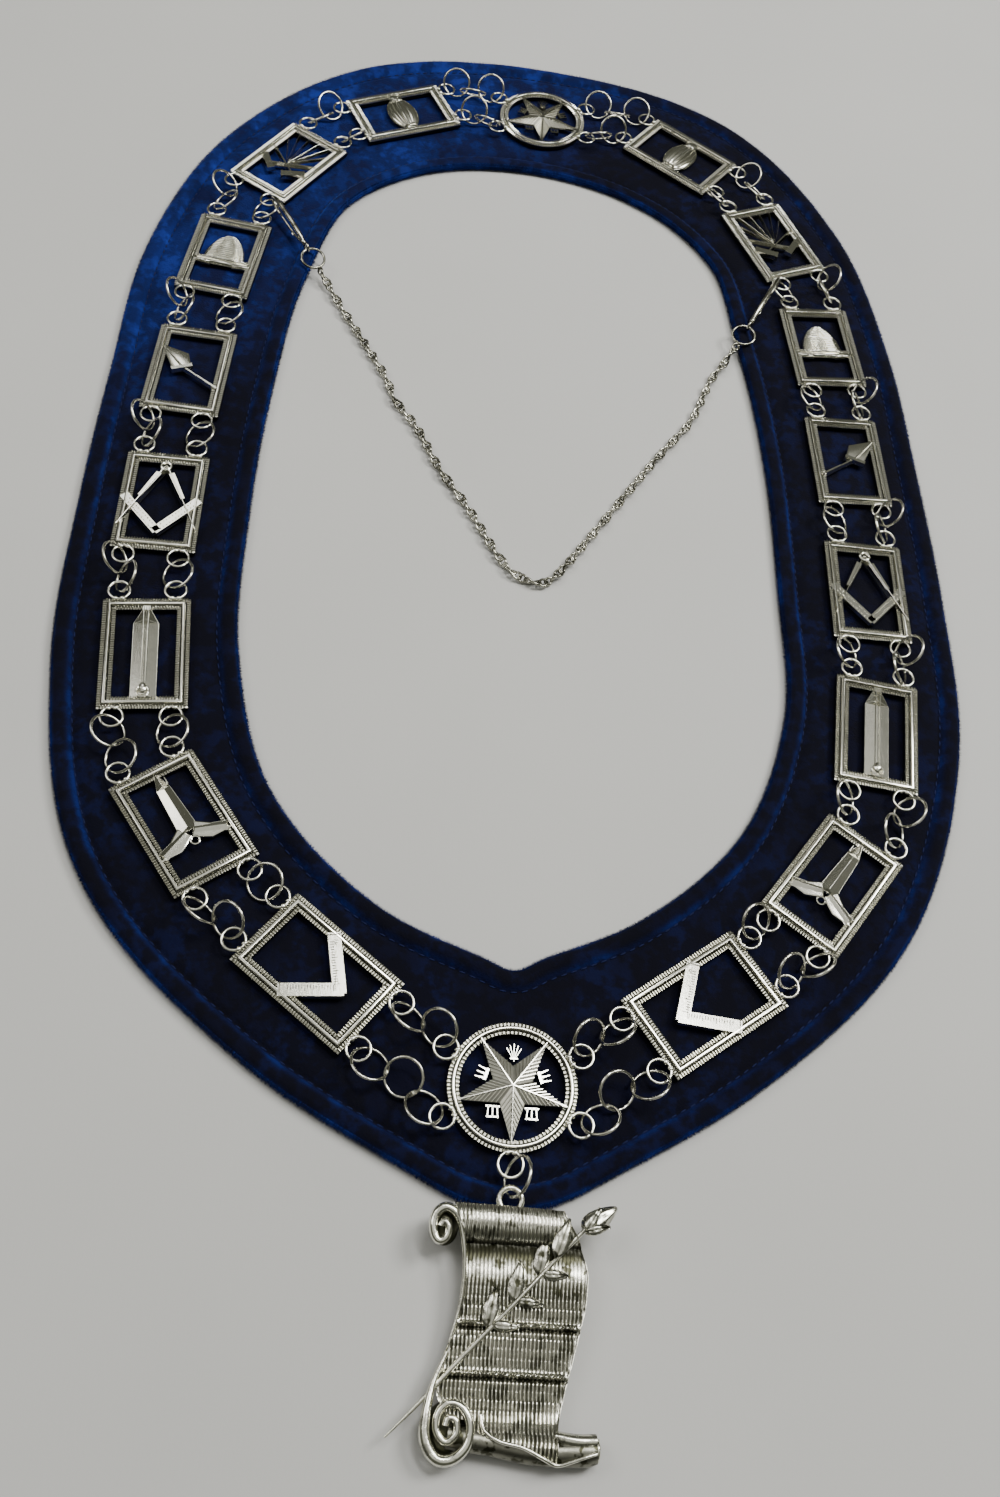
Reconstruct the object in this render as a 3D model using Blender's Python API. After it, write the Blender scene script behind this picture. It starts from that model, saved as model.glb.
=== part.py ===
"""A lodge officer's chain collar, laid flat: pierced metal plaques linked by jump rings on a velvet band.

Lengths are in metres. +Y runs from the bottom medallion to the top one, +X to the right of it and +Z up.
"""

import math

import bmesh
import bpy
import numpy as np
from mathutils import Matrix, Vector

# Pierced plaques
PLAQUE_LENGTH = 0.0400
PLAQUE_WIDTH = 0.0266
PLAQUE_THICKNESS = 0.0026
RAIL_WIDTH = 0.0040
EMBLEM_THICKNESS = 0.0017

# Round medallions
MEDALLION_DIAMETER = 0.0350
MEDALLION_RIM = 0.0030
STAR_NOTCH = 0.0055
MEDALLION_EAR_ANGLE = 26.8

# Flat wire ears, soldered to the ends of plaques and to the rims of medallions
EAR_WIRE = 0.00090
EAR_RADIUS = 0.0033
EAR_SINK = 0.0002
EAR_REACH = EAR_RADIUS - EAR_SINK
EAR_SPREAD = 0.0086
EAR_OPENING = 30

# Jump rings
RING_RADIUS = 0.00525
RING_WIRE = 0.00090
RING_FUSE = 0.00012
RING_DIP = 0.0018
LEAST_LEAN = 27
MOST_LEAN = 50

# Padded velvet band
BAND_WIDTH = 0.0570
FIELD_HEIGHT = 0.0026
ROLL_HEIGHT = 0.0042
ROLL_WIDTH = 0.0065
EDGE_ROUNDING = 0.0015

# Clearances
PLAQUE_LIFT = 0.0008
FIELD_CLEARANCE = 0.00025

# Chain lengths between a plaque and its neighbours
PLAQUE_GAP = 2 * EAR_REACH + 2.362 * RING_RADIUS
MEDALLION_GAP = 2 * EAR_REACH + 3.295 * RING_RADIUS
CHAIN_HALF = 8 * PLAQUE_LENGTH + MEDALLION_DIAMETER + 7 * PLAQUE_GAP + 2 * MEDALLION_GAP

# Places of the medallions along the axis, as a share of CHAIN_HALF
MEDALLION_PLACE = 0.3829

# One row per plaque: half of the collar, number from the bottom, distance from the axis and place along it as
# shares of CHAIN_HALF, heading in degrees, and the band outside and inside it as shares of BAND_WIDTH
SEATS = (
    ("left", 1, 0.1026, -0.3303, 142.4, 0.544, 0.465),
    ("left", 2, 0.1823, -0.2514, 126.4, 0.561, 0.474),
    ("left", 3, 0.2198, -0.1462, 96.9, 0.491, 0.491),
    ("left", 4, 0.2281, -0.0346, 91.0, 0.467, 0.498),
    ("left", 5, 0.2274, 0.0769, 87.7, 0.474, 0.509),
    ("left", 6, 0.2198, 0.1880, 83.5, 0.509, 0.535),
    ("left", 7, 0.1866, 0.2950, 58.2, 0.518, 0.526),
    ("left", 8, 0.1079, 0.3688, 26.7, 0.596, 0.579),
    ("right", 1, 0.1003, -0.3316, 35.9, 0.482, 0.526),
    ("right", 2, 0.1759, -0.2567, 53.6, 0.482, 0.526),
    ("right", 3, 0.2120, -0.1546, 83.5, 0.491, 0.505),
    ("right", 4, 0.2172, -0.0485, 90.0, 0.481, 0.526),
    ("right", 5, 0.2146, 0.0605, 93.2, 0.465, 0.526),
    ("right", 6, 0.2061, 0.1667, 96.7, 0.474, 0.561),
    ("right", 7, 0.1770, 0.2725, 114.9, 0.526, 0.509),
    ("right", 8, 0.1090, 0.3589, 144.4, 0.596, 0.614),
)
# The band on the axis: outside and inside the bottom medallion, then the top one, as shares of BAND_WIDTH
BOTTOM_BAND = (0.570, 0.558)
TOP_BAND = (0.632, 0.535)

# Scroll pendant
PENDANT_WIDTH = 0.0380
PENDANT_HEIGHT = 0.0580
PENDANT_THICKNESS = 0.0020
PENDANT_ROLL = 0.0034
BAIL_RADIUS = 0.0029
BAIL_WIRE = 0.0016
BAIL_SINK = 0.00062
PENDANT_SLOPE = 4.3
BAIL_HOLD = 0.0008

# Fine chain, its end rings and its clasps
CHAIN_WIDTH = 0.0030
END_RING_RADIUS = 0.0043
END_RING_WIRE = 0.0010
CLASP_LENGTH = 0.0260
CLASP_WIRE = 0.0015
CLASP_RISE = 0.0022
LEVER_WIRE = 0.0010
EYE_RADIUS = 0.0015
EYE_WIRE = 0.0010

# The fine chain's route from the left end ring to the right one
CHAIN_ROUTE = (
    (-0.0820, 0.1000, 0.0042),
    (-0.0765, 0.0915, 0.0022),
    (-0.0709, 0.0816, 0.0018),
    (-0.0543, 0.0532, 0.0018),
    (-0.0491, 0.0407, 0.0018),
    (-0.0401, 0.0278, 0.0018),
    (-0.0313, 0.0105, 0.0018),
    (-0.0205, -0.0058, 0.0018),
    (-0.0092, -0.0254, 0.0018),
    (-0.0020, -0.0325, 0.0018),
    (0.0060, -0.0335, 0.0018),
    (0.0120, -0.0270, 0.0018),
    (0.0215, -0.0120, 0.0018),
    (0.0309, 0.0033, 0.0018),
    (0.0459, 0.0275, 0.0018),
    (0.0582, 0.0461, 0.0018),
    (0.0662, 0.0668, 0.0018),
    (0.0708, 0.0750, 0.0022),
    (0.0757, 0.0828, 0.0042),
)

WIRE_SIDES = 5
EAR_STEPS = 6
RING_SIDES = 10

EAR_HEIGHT = FIELD_HEIGHT + PLAQUE_LIFT + 0.81 * PLAQUE_THICKNESS
UP = Vector((0, 0, 1))


def clear_scene():
    for obj in list(bpy.data.objects):
        bpy.data.objects.remove(obj, do_unlink=True)


def new_collection(name):
    collection = bpy.data.collections.new(name)
    bpy.context.scene.collection.children.link(collection)
    return collection


def material(name, colour, roughness, metallic):
    made = bpy.data.materials.new(name)
    made.use_nodes = True
    shader = made.node_tree.nodes["Principled BSDF"]
    shader.inputs["Base Color"].default_value = (*colour, 1)
    shader.inputs["Roughness"].default_value = roughness
    shader.inputs["Metallic"].default_value = metallic
    return made


clear_scene()
PARTS = new_collection("masonic_chain_collar")
GUIDES = new_collection("guides")
NICKEL = material("nickel_plate", (0.62, 0.61, 0.55), 0.28, 1.0)
BRIGHT_WIRE = material("bright_wire", (0.60, 0.60, 0.56), 0.22, 1.0)
CAST_SCROLL = material("cast_scroll", (0.52, 0.51, 0.45), 0.35, 1.0)
VELVET = material("blue_velvet", (0.010, 0.016, 0.110), 0.85, 0.0)


def add_object(name, mesh, finish):
    """A named part that holds the mesh, in the parts' collection."""
    obj = bpy.data.objects.new(name, mesh)
    mesh.materials.clear()
    mesh.materials.append(finish)
    PARTS.objects.link(obj)
    return obj


def mesh_of(obj):
    """The object's evaluated shape as a mesh in the world's axes, its caps welded. The object is removed."""
    bpy.context.view_layer.update()
    graph = bpy.context.evaluated_depsgraph_get()
    mesh = bpy.data.meshes.new_from_object(obj.evaluated_get(graph))
    mesh.transform(obj.matrix_world)
    shape = bmesh.new()
    shape.from_mesh(mesh)
    bmesh.ops.remove_doubles(shape, verts=shape.verts, dist=0.000001)
    shape.to_mesh(mesh)
    shape.free()
    bpy.data.objects.remove(obj, do_unlink=True)
    return mesh


def helper(name, data):
    obj = bpy.data.objects.new(name, data)
    GUIDES.objects.link(obj)
    obj.hide_render = True
    obj.display_type = "WIRE"
    return obj


def plate(outlines, bottom, top):
    """A flat plate between two heights, drawn by closed outlines in the plane. Inner ones are holes."""
    curve = bpy.data.curves.new("plate", "CURVE")
    curve.dimensions = "2D"
    curve.fill_mode = "BOTH"
    curve.extrude = (top - bottom) / 2
    for outline in outlines:
        spline = curve.splines.new("POLY")
        spline.points.add(len(outline) - 1)
        for point, (x, y) in zip(spline.points, outline):
            point.co = (x, y, 0, 1)
        spline.use_cyclic_u = True
    obj = helper("plate", curve)
    obj.location.z = (top + bottom) / 2
    return mesh_of(obj)


def wire(points, radius, sides=WIRE_SIDES, closed=False):
    """A round wire along the points, with flat ends unless it is closed."""
    section = bpy.data.curves.new("section", "CURVE")
    section.dimensions = "2D"
    ring = section.splines.new("POLY")
    ring.points.add(sides - 1)
    for step, point in enumerate(ring.points):
        angle = 2 * math.pi * (step + 0.5) / sides
        point.co = (radius * math.cos(angle), radius * math.sin(angle), 0, 1)
    ring.use_cyclic_u = True
    profile = helper("section", section)
    curve = bpy.data.curves.new("wire", "CURVE")
    curve.dimensions = "3D"
    curve.bevel_mode = "OBJECT"
    curve.bevel_object = profile
    curve.use_fill_caps = not closed
    spline = curve.splines.new("POLY")
    spline.points.add(len(points) - 1)
    for point, place in zip(spline.points, points):
        point.co = (*place, 1)
    spline.use_cyclic_u = closed
    mesh = mesh_of(helper("wire", curve))
    bpy.data.objects.remove(profile, do_unlink=True)
    return outward(mesh)


def outward(mesh):
    """Turns every face of a closed mesh outwards."""
    shape = bmesh.new()
    shape.from_mesh(mesh)
    bmesh.ops.recalc_face_normals(shape, faces=shape.faces)
    shape.to_mesh(mesh)
    shape.free()
    return mesh


def ball(centre, size, segments=8, rings=5):
    """An ellipsoid with the three half sizes."""
    shape = bmesh.new()
    bmesh.ops.create_uvsphere(shape, u_segments=segments, v_segments=rings, radius=1)
    bmesh.ops.scale(shape, vec=size, verts=shape.verts)
    bmesh.ops.translate(shape, vec=centre, verts=shape.verts)
    mesh = bpy.data.meshes.new("ball")
    shape.to_mesh(mesh)
    shape.free()
    return mesh


def united(meshes):
    """One body from meshes that overlap."""
    base = helper("base", meshes[0])
    for mesh in meshes[1:]:
        other = helper("other", mesh)
        join = base.modifiers.new("join", "BOOLEAN")
        join.operation = "UNION"
        join.object = other
    mesh = mesh_of(base)
    for obj in list(GUIDES.objects):
        bpy.data.objects.remove(obj, do_unlink=True)
    return without_idle_edges(mesh)


def without_idle_edges(mesh):
    """Takes out the edges that a union leaves across flat faces."""
    shape = bmesh.new()
    shape.from_mesh(mesh)
    bmesh.ops.dissolve_limit(shape, angle_limit=math.radians(0.5), verts=shape.verts, edges=shape.edges)
    bmesh.ops.triangulate(shape, faces=shape.faces)
    shape.to_mesh(mesh)
    shape.free()
    return mesh


def joined(meshes):
    """One mesh that holds separate bodies, for a union with what they touch."""
    shape = bmesh.new()
    for mesh in meshes:
        shape.from_mesh(mesh)
    made = bpy.data.meshes.new("joined")
    shape.to_mesh(made)
    shape.free()
    return made


def seat_matrix(x, y, heading):
    """Puts a plaque's own axes at its seat: u along the heading, the bottom face just above the field."""
    height = FIELD_HEIGHT + PLAQUE_LIFT
    return Matrix.Translation((x, y, height)) @ Matrix.Rotation(math.radians(heading), 4, "Z")


def bar(start, end, start_width, end_width):
    """The outline of a straight bar that widens from one end to the other."""
    start = Vector(start)
    end = Vector(end)
    across = (end - start).normalized().orthogonal()
    return [
        tuple(start + across * start_width / 2),
        tuple(end + across * end_width / 2),
        tuple(end - across * end_width / 2),
        tuple(start - across * start_width / 2),
    ]


def disc(centre, half_u, half_v, sides=12):
    return [
        (
            centre[0] + half_u * math.cos(2 * math.pi * step / sides),
            centre[1] + half_v * math.sin(2 * math.pi * step / sides),
        )
        for step in range(sides)
    ]


# Emblems. Each returns outlines in the plaque's own plane: u along the chain towards the top medallion,
# v outwards. hu and hv are half the length and width of the opening.


def square_emblem(hu, hv):
    corner = (-0.50 * hu, 0)
    return [bar(corner, (0.24 * hu, side * 1.12 * hv), 0.25 * hu, 0.25 * hu) for side in (1, -1)]


def level_emblem(hu, hv):
    knot = (-0.19 * hu, 0)
    arms = [bar(knot, (-0.50 * hu, side * 1.08 * hv), 0.16 * hu, 0.28 * hu) for side in (1, -1)]
    stem = bar((-0.42 * hu, 0), (1.06 * hu, 0), 0.22 * hu, 0.16 * hu)
    return [stem, *arms]


def plumb_emblem(hu, hv):
    rule = [
        (-1.05 * hu, -0.43 * hv),
        (-1.05 * hu, 0.43 * hv),
        (0.56 * hu, 0.43 * hv),
        (0.94 * hu, 0.13 * hv),
        (1.05 * hu, 0.13 * hv),
        (1.05 * hu, -0.13 * hv),
        (0.94 * hu, -0.13 * hv),
        (0.56 * hu, -0.43 * hv),
    ]
    return [rule]


def compasses_emblem(hu, hv):
    joint = (0.88 * hu, 0)
    legs = [bar(joint, (-0.71 * hu, side * 1.25 * hv), 0.14 * hu, 0.08 * hu) for side in (1, -1)]
    arms = [bar((-0.78 * hu, 0), (0.10 * hu, side * 1.20 * hv), 0.19 * hu, 0.19 * hu) for side in (1, -1)]
    return [*legs, *arms]


def trowel_emblem(hu, hv):
    blade = [(0.61 * hu, 1.22 * hv), (0.43 * hu, 0.13 * hv), (0.07 * hu, -0.04 * hv), (-0.06 * hu, 0.56 * hv)]
    handle = bar((0.08 * hu, 0.20 * hv), (-0.47 * hu, -1.11 * hv), 0.10 * hu, 0.08 * hu)
    return [blade, handle]


def beehive_emblem(hu, hv):
    dome = []
    for step in range(8):
        angle = math.pi * step / 7
        dome.append((-0.16 * hu + 0.81 * hu * math.sin(angle) ** 0.8, 0.81 * hv * math.cos(angle)))
    base = bar((-0.24 * hu, -1.1 * hv), (-0.24 * hu, 1.1 * hv), 0.21 * hu, 0.21 * hu)
    return [dome, base]


def gavels_emblem(hu, hv):
    shapes = []
    for side in (1, -1):
        head = (-0.34 * hu, side * 0.60 * hv)
        shapes.append(bar(head, (0.22 * hu, -side * 1.10 * hv), 0.10 * hu, 0.10 * hu))
        face = (-0.19 * hu, side * 1.10 * hv)
        shapes.append(bar((-0.52 * hu, side * 0.28 * hv), face, 0.19 * hu, 0.19 * hu))
    for angle in (-30, 0, 30):
        turn = math.radians(angle)
        end = (1.04 * hu, 1.10 * hu * math.tan(turn) * 0.8)
        shapes.append(bar((-0.08 * hu, 0.10 * hv * angle / 30), end, 0.05 * hu, 0.07 * hu))
    return shapes


def globe_emblem(hu, hv):
    return [disc((0, 0), 0.34 * hu, 1.06 * hv, 14)]


EMBLEMS = (
    ("square", square_emblem),
    ("level", level_emblem),
    ("plumb", plumb_emblem),
    ("compasses", compasses_emblem),
    ("trowel", trowel_emblem),
    ("beehive", beehive_emblem),
    ("gavels", gavels_emblem),
    ("globe", globe_emblem),
)
EMBLEM_STEP = 0.00013


def relief(outlines, side, bottom):
    """Emblem plates a little above each other, so that one lies over the next as cast relief does."""
    plates = []
    for step, outline in enumerate(outlines):
        flipped = [(u, side * v) for u, v in outline]
        low = bottom + step * EMBLEM_STEP
        plates.append(plate([flipped], low, low + EMBLEM_THICKNESS))
    return plates


def ear(hole, heading):
    """A flat open loop of wire round its hole, its two ends in the metal that it is soldered to."""
    spread = math.radians(180 - EAR_OPENING / 2)
    points = []
    for step in range(EAR_STEPS + 1):
        angle = math.radians(heading) - spread + 2 * spread * step / EAR_STEPS
        points.append(
            (
                hole[0] + EAR_RADIUS * math.cos(angle),
                hole[1] + EAR_RADIUS * math.sin(angle),
                EAR_HEIGHT - FIELD_HEIGHT - PLAQUE_LIFT,
            )
        )
    return wire(points, EAR_WIRE / 2)


def rectangle(length, width):
    return [(u * length / 2, v * width / 2) for u, v in ((-1, -1), (1, -1), (1, 1), (-1, 1))]


def plaque(name, emblem, side, seat):
    opening = (PLAQUE_LENGTH - 2 * RAIL_WIDTH, PLAQUE_WIDTH - 2 * RAIL_WIDTH)
    frame = plate([rectangle(PLAQUE_LENGTH, PLAQUE_WIDTH), rectangle(*opening)], 0, PLAQUE_THICKNESS)
    outlines = emblem(opening[0] / 2, opening[1] / 2)
    pieces = [frame, *relief(outlines, side, 0.3 * PLAQUE_THICKNESS)]
    hole = PLAQUE_LENGTH / 2 + EAR_REACH
    corners = [((end * hole, v * EAR_SPREAD), 90 - 90 * end) for end in (1, -1) for v in (1, -1)]
    pieces.append(joined([ear(*corner) for corner in corners]))
    mesh = united(pieces)
    mesh.transform(seat_matrix(*seat))
    return add_object(name, mesh, NICKEL)


def medallion(name, seat, ear_angles):
    """A round rim with a five-pointed star, one point down the chain, and small emblems between."""
    outer = MEDALLION_DIAMETER / 2
    inner = outer - MEDALLION_RIM
    rim = plate([disc((0, 0), outer, outer, 24), disc((0, 0), inner, inner, 24)], 0, PLAQUE_THICKNESS)
    star = []
    for step in range(10):
        angle = math.radians(270 + 36 * step)
        reach = STAR_NOTCH if step % 2 else inner + 0.3 * MEDALLION_RIM
        star.append((reach * math.cos(angle), reach * math.sin(angle)))
    sheaf = bar((0, 0.34 * inner), (0, 0.79 * inner), 0.20 * inner, 0.14 * inner)
    block = 0.28 * inner
    crowns = []
    squares = []
    for side in (1, -1):
        crown = [(side * 0.36 * inner, 0.12 * inner), (side * 0.72 * inner, 0.23 * inner)]
        square = [(side * 0.22 * inner, -0.30 * inner), (side * 0.44 * inner, -0.60 * inner)]
        crowns.append(bar(*crown, block, block))
        squares.append(bar(*square, block, block))
    pieces = [rim, *relief([star, sheaf, *crowns, *squares], 1, 0.25 * PLAQUE_THICKNESS)]
    ears = []
    for angle in ear_angles:
        turn = math.radians(angle)
        reach = outer + EAR_REACH
        ears.append(ear((reach * math.cos(turn), reach * math.sin(turn)), angle))
    pieces.append(joined(ears))
    mesh = united(pieces)
    mesh.transform(seat_matrix(*seat))
    return add_object(name, mesh, NICKEL)


def circle_points(centre, along, side, radius, count):
    angles = 2 * math.pi * (np.arange(count) + 0.5) / count
    return (
        np.array(centre)
        + radius * np.outer(np.cos(angles), np.array(along))
        + radius * np.outer(np.sin(angles), np.array(side))
    )


def least_distance(first, second):
    return np.linalg.norm(first[:, None, :] - second[None, :, :], axis=2).min()


def ring_mesh(centre, along, side, radius, wire_width, segments=RING_SIDES, sides=WIRE_SIDES):
    """A closed round wire, turned once round its axis."""
    along = Vector(along)
    side = Vector(side)
    turn = Matrix((along, side, along.cross(side))).transposed().to_4x4()
    shape = bmesh.new()
    section = bmesh.ops.create_circle(shape, segments=sides, radius=wire_width / 2)
    stand = Matrix.Translation((radius, 0, 0)) @ Matrix.Rotation(math.pi / 2, 4, "X")
    bmesh.ops.transform(shape, matrix=stand, verts=section["verts"])
    bmesh.ops.spin(
        shape,
        geom=[*shape.verts, *shape.edges],
        cent=(0, 0, 0),
        axis=(0, 0, 1),
        angle=2 * math.pi,
        steps=segments,
        use_merge=True,
    )
    bmesh.ops.remove_doubles(shape, verts=shape.verts, dist=0.000001)
    bmesh.ops.transform(shape, matrix=Matrix.Translation(centre) @ turn, verts=shape.verts)
    bmesh.ops.recalc_face_normals(shape, faces=shape.faces)
    mesh = bpy.data.meshes.new("ring")
    shape.to_mesh(mesh)
    shape.free()
    return mesh


def ring_poses(start, end, outward_side, leanings, dip=RING_DIP, radius=RING_RADIUS):
    """Places of the rings of one run between two ear holes.

    Every ring crosses the line between the holes at two points, a chord of it, and leans about that line as
    far as its lower edge may dip. Neighbours lean to opposite sides, each through the other, and just touch.
    """
    start = np.array(start)
    end = np.array(end)
    span = np.linalg.norm(end - start)
    along = (end - start) / span
    across = np.cross(along, (0, 0, 1))
    across = across / np.linalg.norm(across)
    if np.dot(across, outward_side) < 0:
        across = -across
    above = np.cross(across, along)
    if above[2] < 0:
        above = -above
    count = len(leanings)
    touch = RING_WIRE - RING_FUSE
    shortest = 1.60 * radius if count > 1 else 1.70 * radius
    chord = min(1.995 * radius, max(shortest, (span + (count - 1) * touch) / count))
    offset = math.sqrt(radius**2 - chord**2 / 4)
    lean = math.asin(min(1.0, dip / (radius - offset)))
    lean = min(math.radians(MOST_LEAN), max(math.radians(LEAST_LEAN), lean))
    depth = (radius - offset) * math.sin(lean) + RING_WIRE / 2
    lift = max(0.0, FIELD_HEIGHT + FIELD_CLEARANCE + depth - min(start[2], end[2]))
    start = start + (0, 0, lift)
    end = end + (0, 0, lift)
    sides = []
    for leaning in leanings:
        turn = lean * abs(leaning)
        sides.append(math.copysign(math.cos(turn), leaning) * across + math.sin(turn) * above)
    places = [0.0]
    for index in range(1, count):
        near = 0.6 * chord
        far = chord + touch
        for _ in range(24):
            middle = (near + far) / 2
            first = circle_points(offset * sides[index - 1], along, sides[index - 1], radius, 90)
            second = circle_points(middle * along + offset * sides[index], along, sides[index], radius, 90)
            crossing_gap = chord - middle
            if crossing_gap > 0 and least_distance(first, second) > touch:
                near = middle
            else:
                far = middle
        places.append(places[-1] + (near + far) / 2)
    half = places[-1] / 2
    middle_point = (start + end) / 2
    return [
        (middle_point + (place - half) * along + offset * side, along, side)
        for place, side in zip(places, sides)
    ]


def ring_run(name, poses, radius=RING_RADIUS):
    meshes = [ring_mesh(Vector(centre), along, side, radius, RING_WIRE) for centre, along, side in poses]
    mesh = united(meshes) if len(meshes) > 1 else meshes[0]
    return add_object(name, mesh, BRIGHT_WIRE)


def seat_of(row):
    side = -1 if row[0] == "left" else 1
    return (side * row[2] * CHAIN_HALF, row[3] * CHAIN_HALF, row[4])


def plaque_hole(row, end, outer):
    """The centre of an ear's hole: end 1 towards the top medallion, outer 1 outside the chain."""
    x, y, heading = seat_of(row)
    turn = math.radians(heading)
    u = Vector((math.cos(turn), math.sin(turn), 0))
    v = Vector((-u.y, u.x, 0)) * (1 if row[0] == "left" else -1)
    reach = PLAQUE_LENGTH / 2 + EAR_REACH
    return Vector((x, y, EAR_HEIGHT)) + u * end * reach + v * outer * EAR_SPREAD


def medallion_hole(place, angle):
    turn = math.radians(angle)
    reach = MEDALLION_DIAMETER / 2 + EAR_REACH
    return Vector((reach * math.cos(turn), place * CHAIN_HALF + reach * math.sin(turn), EAR_HEIGHT))


def medallion_ears(extra=()):
    tilt = MEDALLION_EAR_ANGLE
    return (tilt, -tilt, 180 - tilt, 180 + tilt, *extra)


def make_plaques():
    for row in SEATS:
        label, emblem = EMBLEMS[row[1] - 1]
        side = 1 if row[0] == "left" else -1
        plaque(f"plaque_{row[0]}_{row[1]}_{label}", emblem, side, seat_of(row))
    medallion("medallion_bottom", (0, -MEDALLION_PLACE * CHAIN_HALF, 0), medallion_ears((270,)))
    medallion("medallion_top", (0, MEDALLION_PLACE * CHAIN_HALF, 0), medallion_ears())


# How each ring of a run leans, from the lower ear to the upper one: + outwards, - inwards, as shares of the
# lean that the run's own length gives
OUTER_LEANINGS = (-1.0, 1.08)
INNER_LEANINGS = (-1.0,)
MEDALLION_OUTER_LEANINGS = (1.0, -0.9, 1.0)
MEDALLION_INNER_LEANINGS = (1.0, -1.0)


def make_ring_runs():
    runs = {}
    for half in ("left", "right"):
        rows = [row for row in SEATS if row[0] == half]
        sign = -1 if half == "left" else 1
        for lower, upper in zip(rows, rows[1:]):
            for label, outer, leanings in (("outer", 1, OUTER_LEANINGS), ("inner", -1, INNER_LEANINGS)):
                start = plaque_hole(lower, 1, outer)
                end = plaque_hole(upper, -1, outer)
                poses = ring_poses(start, end, (sign, 0, 0), leanings)
                name = f"rings_{half}_{lower[1]}_{upper[1]}_{label}"
                ring_run(name, poses)
                runs[name] = poses
        tilt = MEDALLION_EAR_ANGLE
        ends = (("bottom", rows[0], -1, -MEDALLION_PLACE), ("top", rows[-1], 1, MEDALLION_PLACE))
        lines = (("outer", 1, MEDALLION_OUTER_LEANINGS), ("inner", -1, MEDALLION_INNER_LEANINGS))
        for where, row, end, place in ends:
            for label, outer, leanings in lines:
                rise = outer if where == "top" else -outer
                angle = rise * tilt if half == "right" else 180 - rise * tilt
                start = medallion_hole(place, angle)
                poses = ring_poses(start, plaque_hole(row, end, outer), (0, place * outer, 0), leanings)
                name = f"rings_{half}_{where}_{label}"
                ring_run(name, poses)
                runs[name] = poses
    return runs


def band_rows():
    """Seats of the whole loop in order round it: x, y, outer width and inner width of the band."""
    left = [row for row in SEATS if row[0] == "left"]
    right = [row for row in SEATS if row[0] == "right"]
    bottom = (0, -MEDALLION_PLACE * CHAIN_HALF, BOTTOM_BAND[0] * BAND_WIDTH, BOTTOM_BAND[1] * BAND_WIDTH)
    top = (0, MEDALLION_PLACE * CHAIN_HALF, TOP_BAND[0] * BAND_WIDTH, TOP_BAND[1] * BAND_WIDTH)

    def entry(row):
        x, y, _ = seat_of(row)
        return (x, y, row[5] * BAND_WIDTH, row[6] * BAND_WIDTH)

    return [bottom, *[entry(row) for row in left], top, *[entry(row) for row in reversed(right)]]


def smooth_between(before, first, second, after, share):
    """A point of the smooth curve from the first row to the second."""
    p0, p1, p2, p3 = (np.array(row, float) for row in (before, first, second, after))
    t = share
    return 0.5 * (
        2 * p1 + (p2 - p0) * t + (2 * p0 - 5 * p1 + 4 * p2 - p3) * t**2 + (3 * p1 - p0 - 3 * p2 + p3) * t**3
    )


BAND_STEPS = 3


def band_stations():
    """Points of the band's centre line with their widths; the bottom is a corner and the rest smooth."""
    rows = band_rows()
    count = len(rows)
    stations = []
    for index in range(count):
        first = rows[index]
        second = rows[(index + 1) % count]
        before = rows[index - 1]
        after = rows[(index + 2) % count]
        if index == 0:
            before = tuple(2 * a - b for a, b in zip(first, second))
        if index == count - 1:
            after = tuple(2 * b - a for a, b in zip(first, second))
        for step in range(BAND_STEPS):
            stations.append(smooth_between(before, first, second, after, step / BAND_STEPS))
    return stations


def band_section(place, normal, outer, inner):
    """Points round one section of the padded band, from the outer edge over the top and back underneath."""
    width = outer + inner
    rows = (
        (0, 0.45 * ROLL_HEIGHT),
        (0.42 * ROLL_WIDTH, ROLL_HEIGHT),
        (ROLL_WIDTH, FIELD_HEIGHT),
        (width - ROLL_WIDTH, FIELD_HEIGHT),
        (width - 0.42 * ROLL_WIDTH, ROLL_HEIGHT),
        (width, 0.45 * ROLL_HEIGHT),
        (width - EDGE_ROUNDING, 0),
        (EDGE_ROUNDING, 0),
    )
    points = []
    for inset, height in rows:
        flat = place + normal * (outer - inset)
        points.append((flat[0], flat[1], height))
    return points


def make_velvet():
    stations = band_stations()
    count = len(stations)
    shape = bmesh.new()
    sections = []
    for index, station in enumerate(stations):
        before = stations[index - 1][:2]
        after = stations[(index + 1) % count][:2]
        tangent = after - before
        if index == 0:
            tangent = np.array((-1.0, 0.0))
        tangent = tangent / np.linalg.norm(tangent)
        normal = np.array((-tangent[1], tangent[0]))
        if index == 0:
            normal = np.array((0.0, -1.0))
        if np.dot(normal, station[:2]) < 0:
            normal = -normal
        points = band_section(station[:2], normal, station[2], station[3])
        sections.append([shape.verts.new(point) for point in points])
    for first, second in zip(sections, sections[1:] + sections[:1]):
        for index in range(len(first)):
            after = (index + 1) % len(first)
            shape.faces.new((first[index], first[after], second[after], second[index]))
    bmesh.ops.recalc_face_normals(shape, faces=shape.faces)
    mesh = bpy.data.meshes.new("velvet")
    shape.to_mesh(mesh)
    shape.free()
    mesh.shade_smooth()
    mesh.set_sharp_from_angle(angle=math.radians(40))
    return add_object("velvet_collar", mesh, VELVET)


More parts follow.
